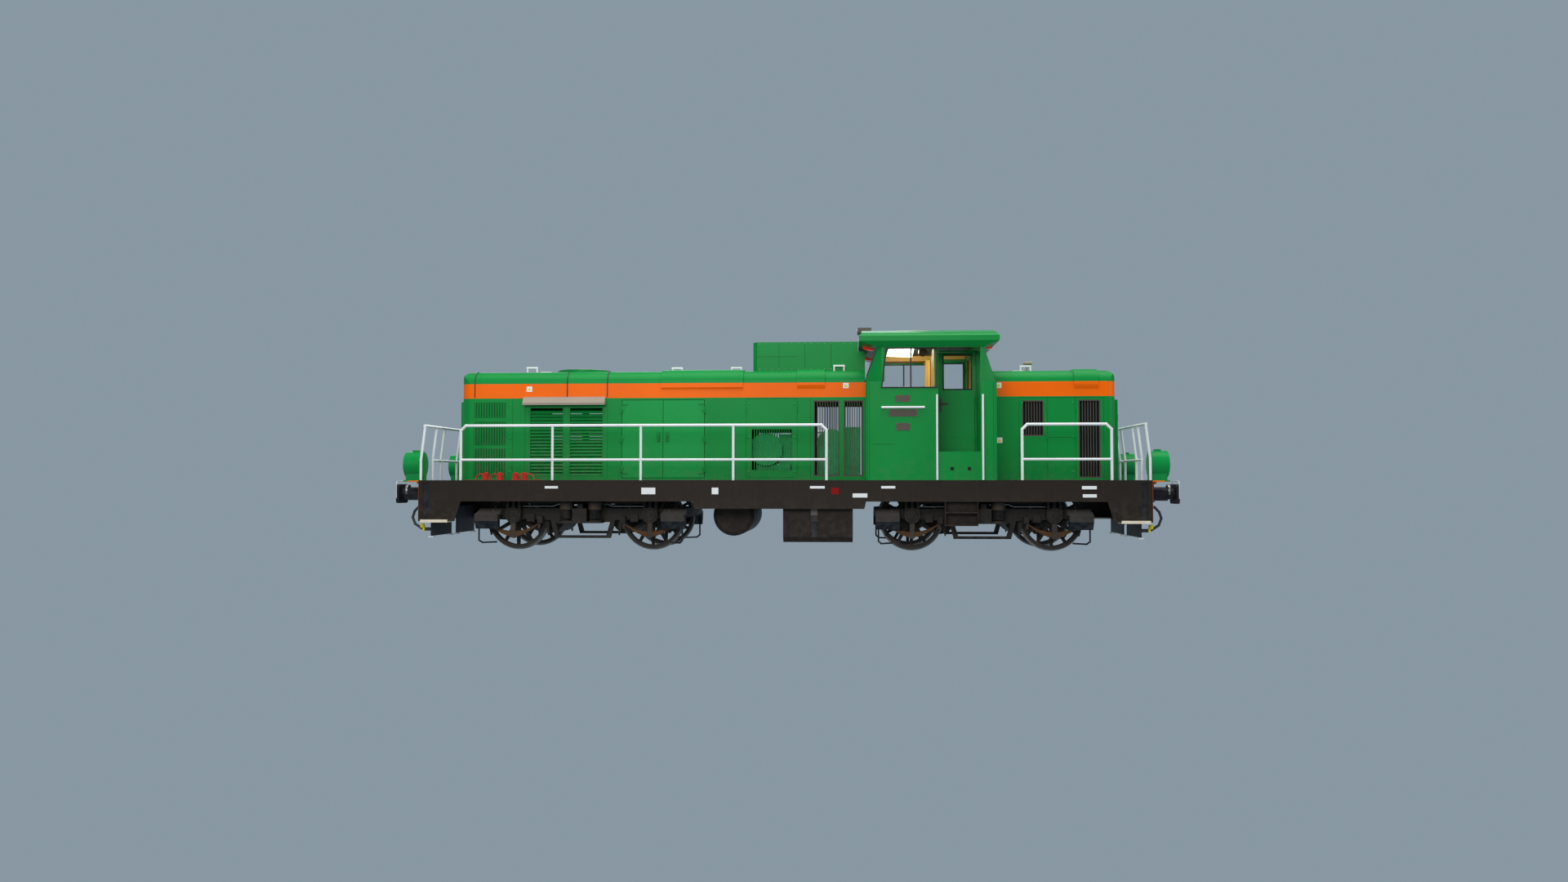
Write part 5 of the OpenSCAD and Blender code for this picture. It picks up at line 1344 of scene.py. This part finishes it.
def leaves():
    """Leaf springs of eight bowed plates, with a buckle and hangers."""
    half, end_z, mid_z, pack = 0.495, 0.466, 0.304, 0.090
    sag = end_z - mid_z
    bow = (half * half + sag * sag) / (2 * sag)
    count = 8
    thick = pack / count
    plates = []
    for k in range(count):
        reach = half - 0.004 - 0.052 * k
        drop = pack / 2 - thick * (k + 0.5)
        parts = 20
        ring = []
        for i in range(parts + 1):
            x = -reach + 2 * reach * i / parts
            centre = mid_z + bow
            r = bow - drop
            z = centre - sqrt(r * r - x * x)
            ring.append((x, z))
        clear()
        bpy.ops.mesh.primitive_grid_add(x_subdivisions=parts, y_subdivisions=1, size=1)
        plate = bpy.context.object
        spots = sorted({round(v.co.x, 4) for v in plate.data.vertices})
        for v in plate.data.vertices:
            x, z = ring[spots.index(round(v.co.x, 4))]
            v.co = (x, 1.052 + (v.co.y + 0.5) * 0.086, z)
        shape(plate, "SOLIDIFY", thickness=thick * 0.90, offset=0)
        shape(plate, "BEVEL", width=0.0015, segments=1, limit_method="ANGLE")
        plates.append(plate)
    buckle = slab((-0.044, 1.041, 0.232), (0.044, 1.149, 0.499), 0.006, 2)
    bolt = rod((0, 1.095, 0.222), (0, 1.095, 0.240), 0.020, 6, 0.003)
    hangers = []
    for x in (-0.475, 0.475):
        hangers += [slab((x - 0.018, 1.052, 0.400), (x + 0.018, 1.060, 0.500), 0.003),
                    slab((x - 0.018, 1.130, 0.400), (x + 0.018, 1.138, 0.500), 0.003),
                    rod((x, 1.046, 0.415), (x, 1.146, 0.415), 0.016, 16, 0.003),
                    slab((x - 0.020, 1.052, 0.478), (x + 0.020, 1.138, 0.5005), 0.004)]
    pack_piece = joined(plates)
    irons = joined([buckle, bolt] + hangers)
    fit_bogies([("leaves_", pack_piece, F["spring"]), ("leaf_irons_", irons, F["brake"])],
               "spring_rust",
               lambda middle: [Matrix.Translation((middle + a * HALF_BASE, 0, 0)) @ flip
                               for a in BOTH for flip in SIDES], "leaf_springs_")


def cable_trays():
    """Cable trays on the bogie frames, with their clamps."""
    tray = pressed((-1.36, 0.955, 0.840), (1.36, 0.985, 0.930), (0, 1, 0), 0.012, 0.006)
    feet = repeat(slab((-0.03, 0.945, 0.755), (0.03, 1.000, 0.845), 0.003),
                  [(x, 0, 0) for x in (-1.30, -0.85, -0.40, 0.40, 0.85, 1.30)])
    clips = repeat(rod((0, 0.982, 0.885), (0, 0.996, 0.885), 0.014, 10, 0.003),
                   [(-1.2 + 0.3 * i, 0, 0) for i in range(9)])
    piece = joined([tray, feet, clips])
    fit_bogies([("cable_trays_", piece, F["bogie"])], "bogie_paint", about_pivot(SIDES))


def grille_shade_panels():
    """Dark panels behind the short hood's grilles: painted shade of the hood's inside, seen
    through the grilles.
    """
    backs = [slab((a - 0.01, 0.700, low - 0.01), (b + 0.01, 0.706, high + 0.01), 0.001)
             for a, b, low, high in ((4.338, 4.731, 2.061, 2.710), (5.341, 5.732, 1.312, 2.720))]
    fit_pair("grille_shade_panels", backs, F["lining"], slot="hood_paint")


def axle_box_dress():
    """Covers and bolts of the axle boxes, and plates on the spring seats."""
    cover = turned([(0, 0.001), (0, 0.112), (0.010, 0.112), (0.022, 0.096), (0.026, 0.070),
                    (0.026, 0.001)], (HALF_BASE, 1.139, 0.640), "Y", 32)
    low = turned([(0.024, 0.001), (0.024, 0.040), (0.034, 0.036), (0.034, 0.001)],
                 (HALF_BASE, 1.139, 0.640), "Y", 20)
    bolt = turned([(0.008, 0.001), (0.008, 0.012), (0.020, 0.012), (0.020, 0.001)],
                  (0, 1.139, 0), "Y", 6)
    spots = [(HALF_BASE + 0.098 * cos(a), 0, 0.640 + 0.098 * sin(a))
             for a in [radians(45 + 90 * i) for i in range(4)]]
    bolts = repeat(bolt, spots)
    pads = [slab((0.30, 1.0, 0.540), (0.385, 1.29, 0.553), 0.003)]
    piece = joined([cover, low, bolts] + pads)
    fit_bogies([("axle_box_covers_", piece, F["bogie"])], "bogie_paint",
               about_pivot(CORNERS))


def brake_pipes():
    """Pipes along the bogie frames and lids on the sandboxes."""
    run = pipe([(-1.35, 1.012, 0.80), (-0.55, 1.012, 0.80), (-0.45, 1.012, 0.84),
                (0.45, 1.012, 0.84), (0.55, 1.012, 0.80), (1.35, 1.012, 0.80)], 0.012, 8)
    lid = slab((1.52, 1.040, 0.700), (1.70, 1.230, 0.712), 0.003)
    for point in lid.data.vertices:
        point.co.z += 0.038 - (point.co.y - 1.010) * 0.294
    knob = rod((1.61, 1.135, 0.705), (1.61, 1.135, 0.738), 0.012, 12, 0.003)
    lids = joined([lid, knob])
    fit_bogies([("frame_pipes_", run, F["steel"])], "bogie_paint", about_pivot(SIDES))
    # The lids sit above Z 0.650, where the sandbox finish paints a highlight.
    fit_bogies([("sandbox_lids_", lids, F["sand"])], "sandbox_paint", about_pivot(CORNERS))


for build in (hood_louvres, hood_seams, panel_locks, roof_beads, blank_plates,
              engine_door_fittings, end_door_fittings, intake_seams, window_gaskets, wipers,
              cab_plates, cab_seams, roof_fittings, cab_door_fittings, cab_lining,
              desk_fittings, seat_cushions, fan_guard, engine_dress, sill_markings,
              deck_edges, sill_ends, buffer_dress, lamp_dress, hose_ends, tank_dress, coils,
              leaves, cable_trays, grille_shade_panels, axle_box_dress, brake_pipes):
    build()
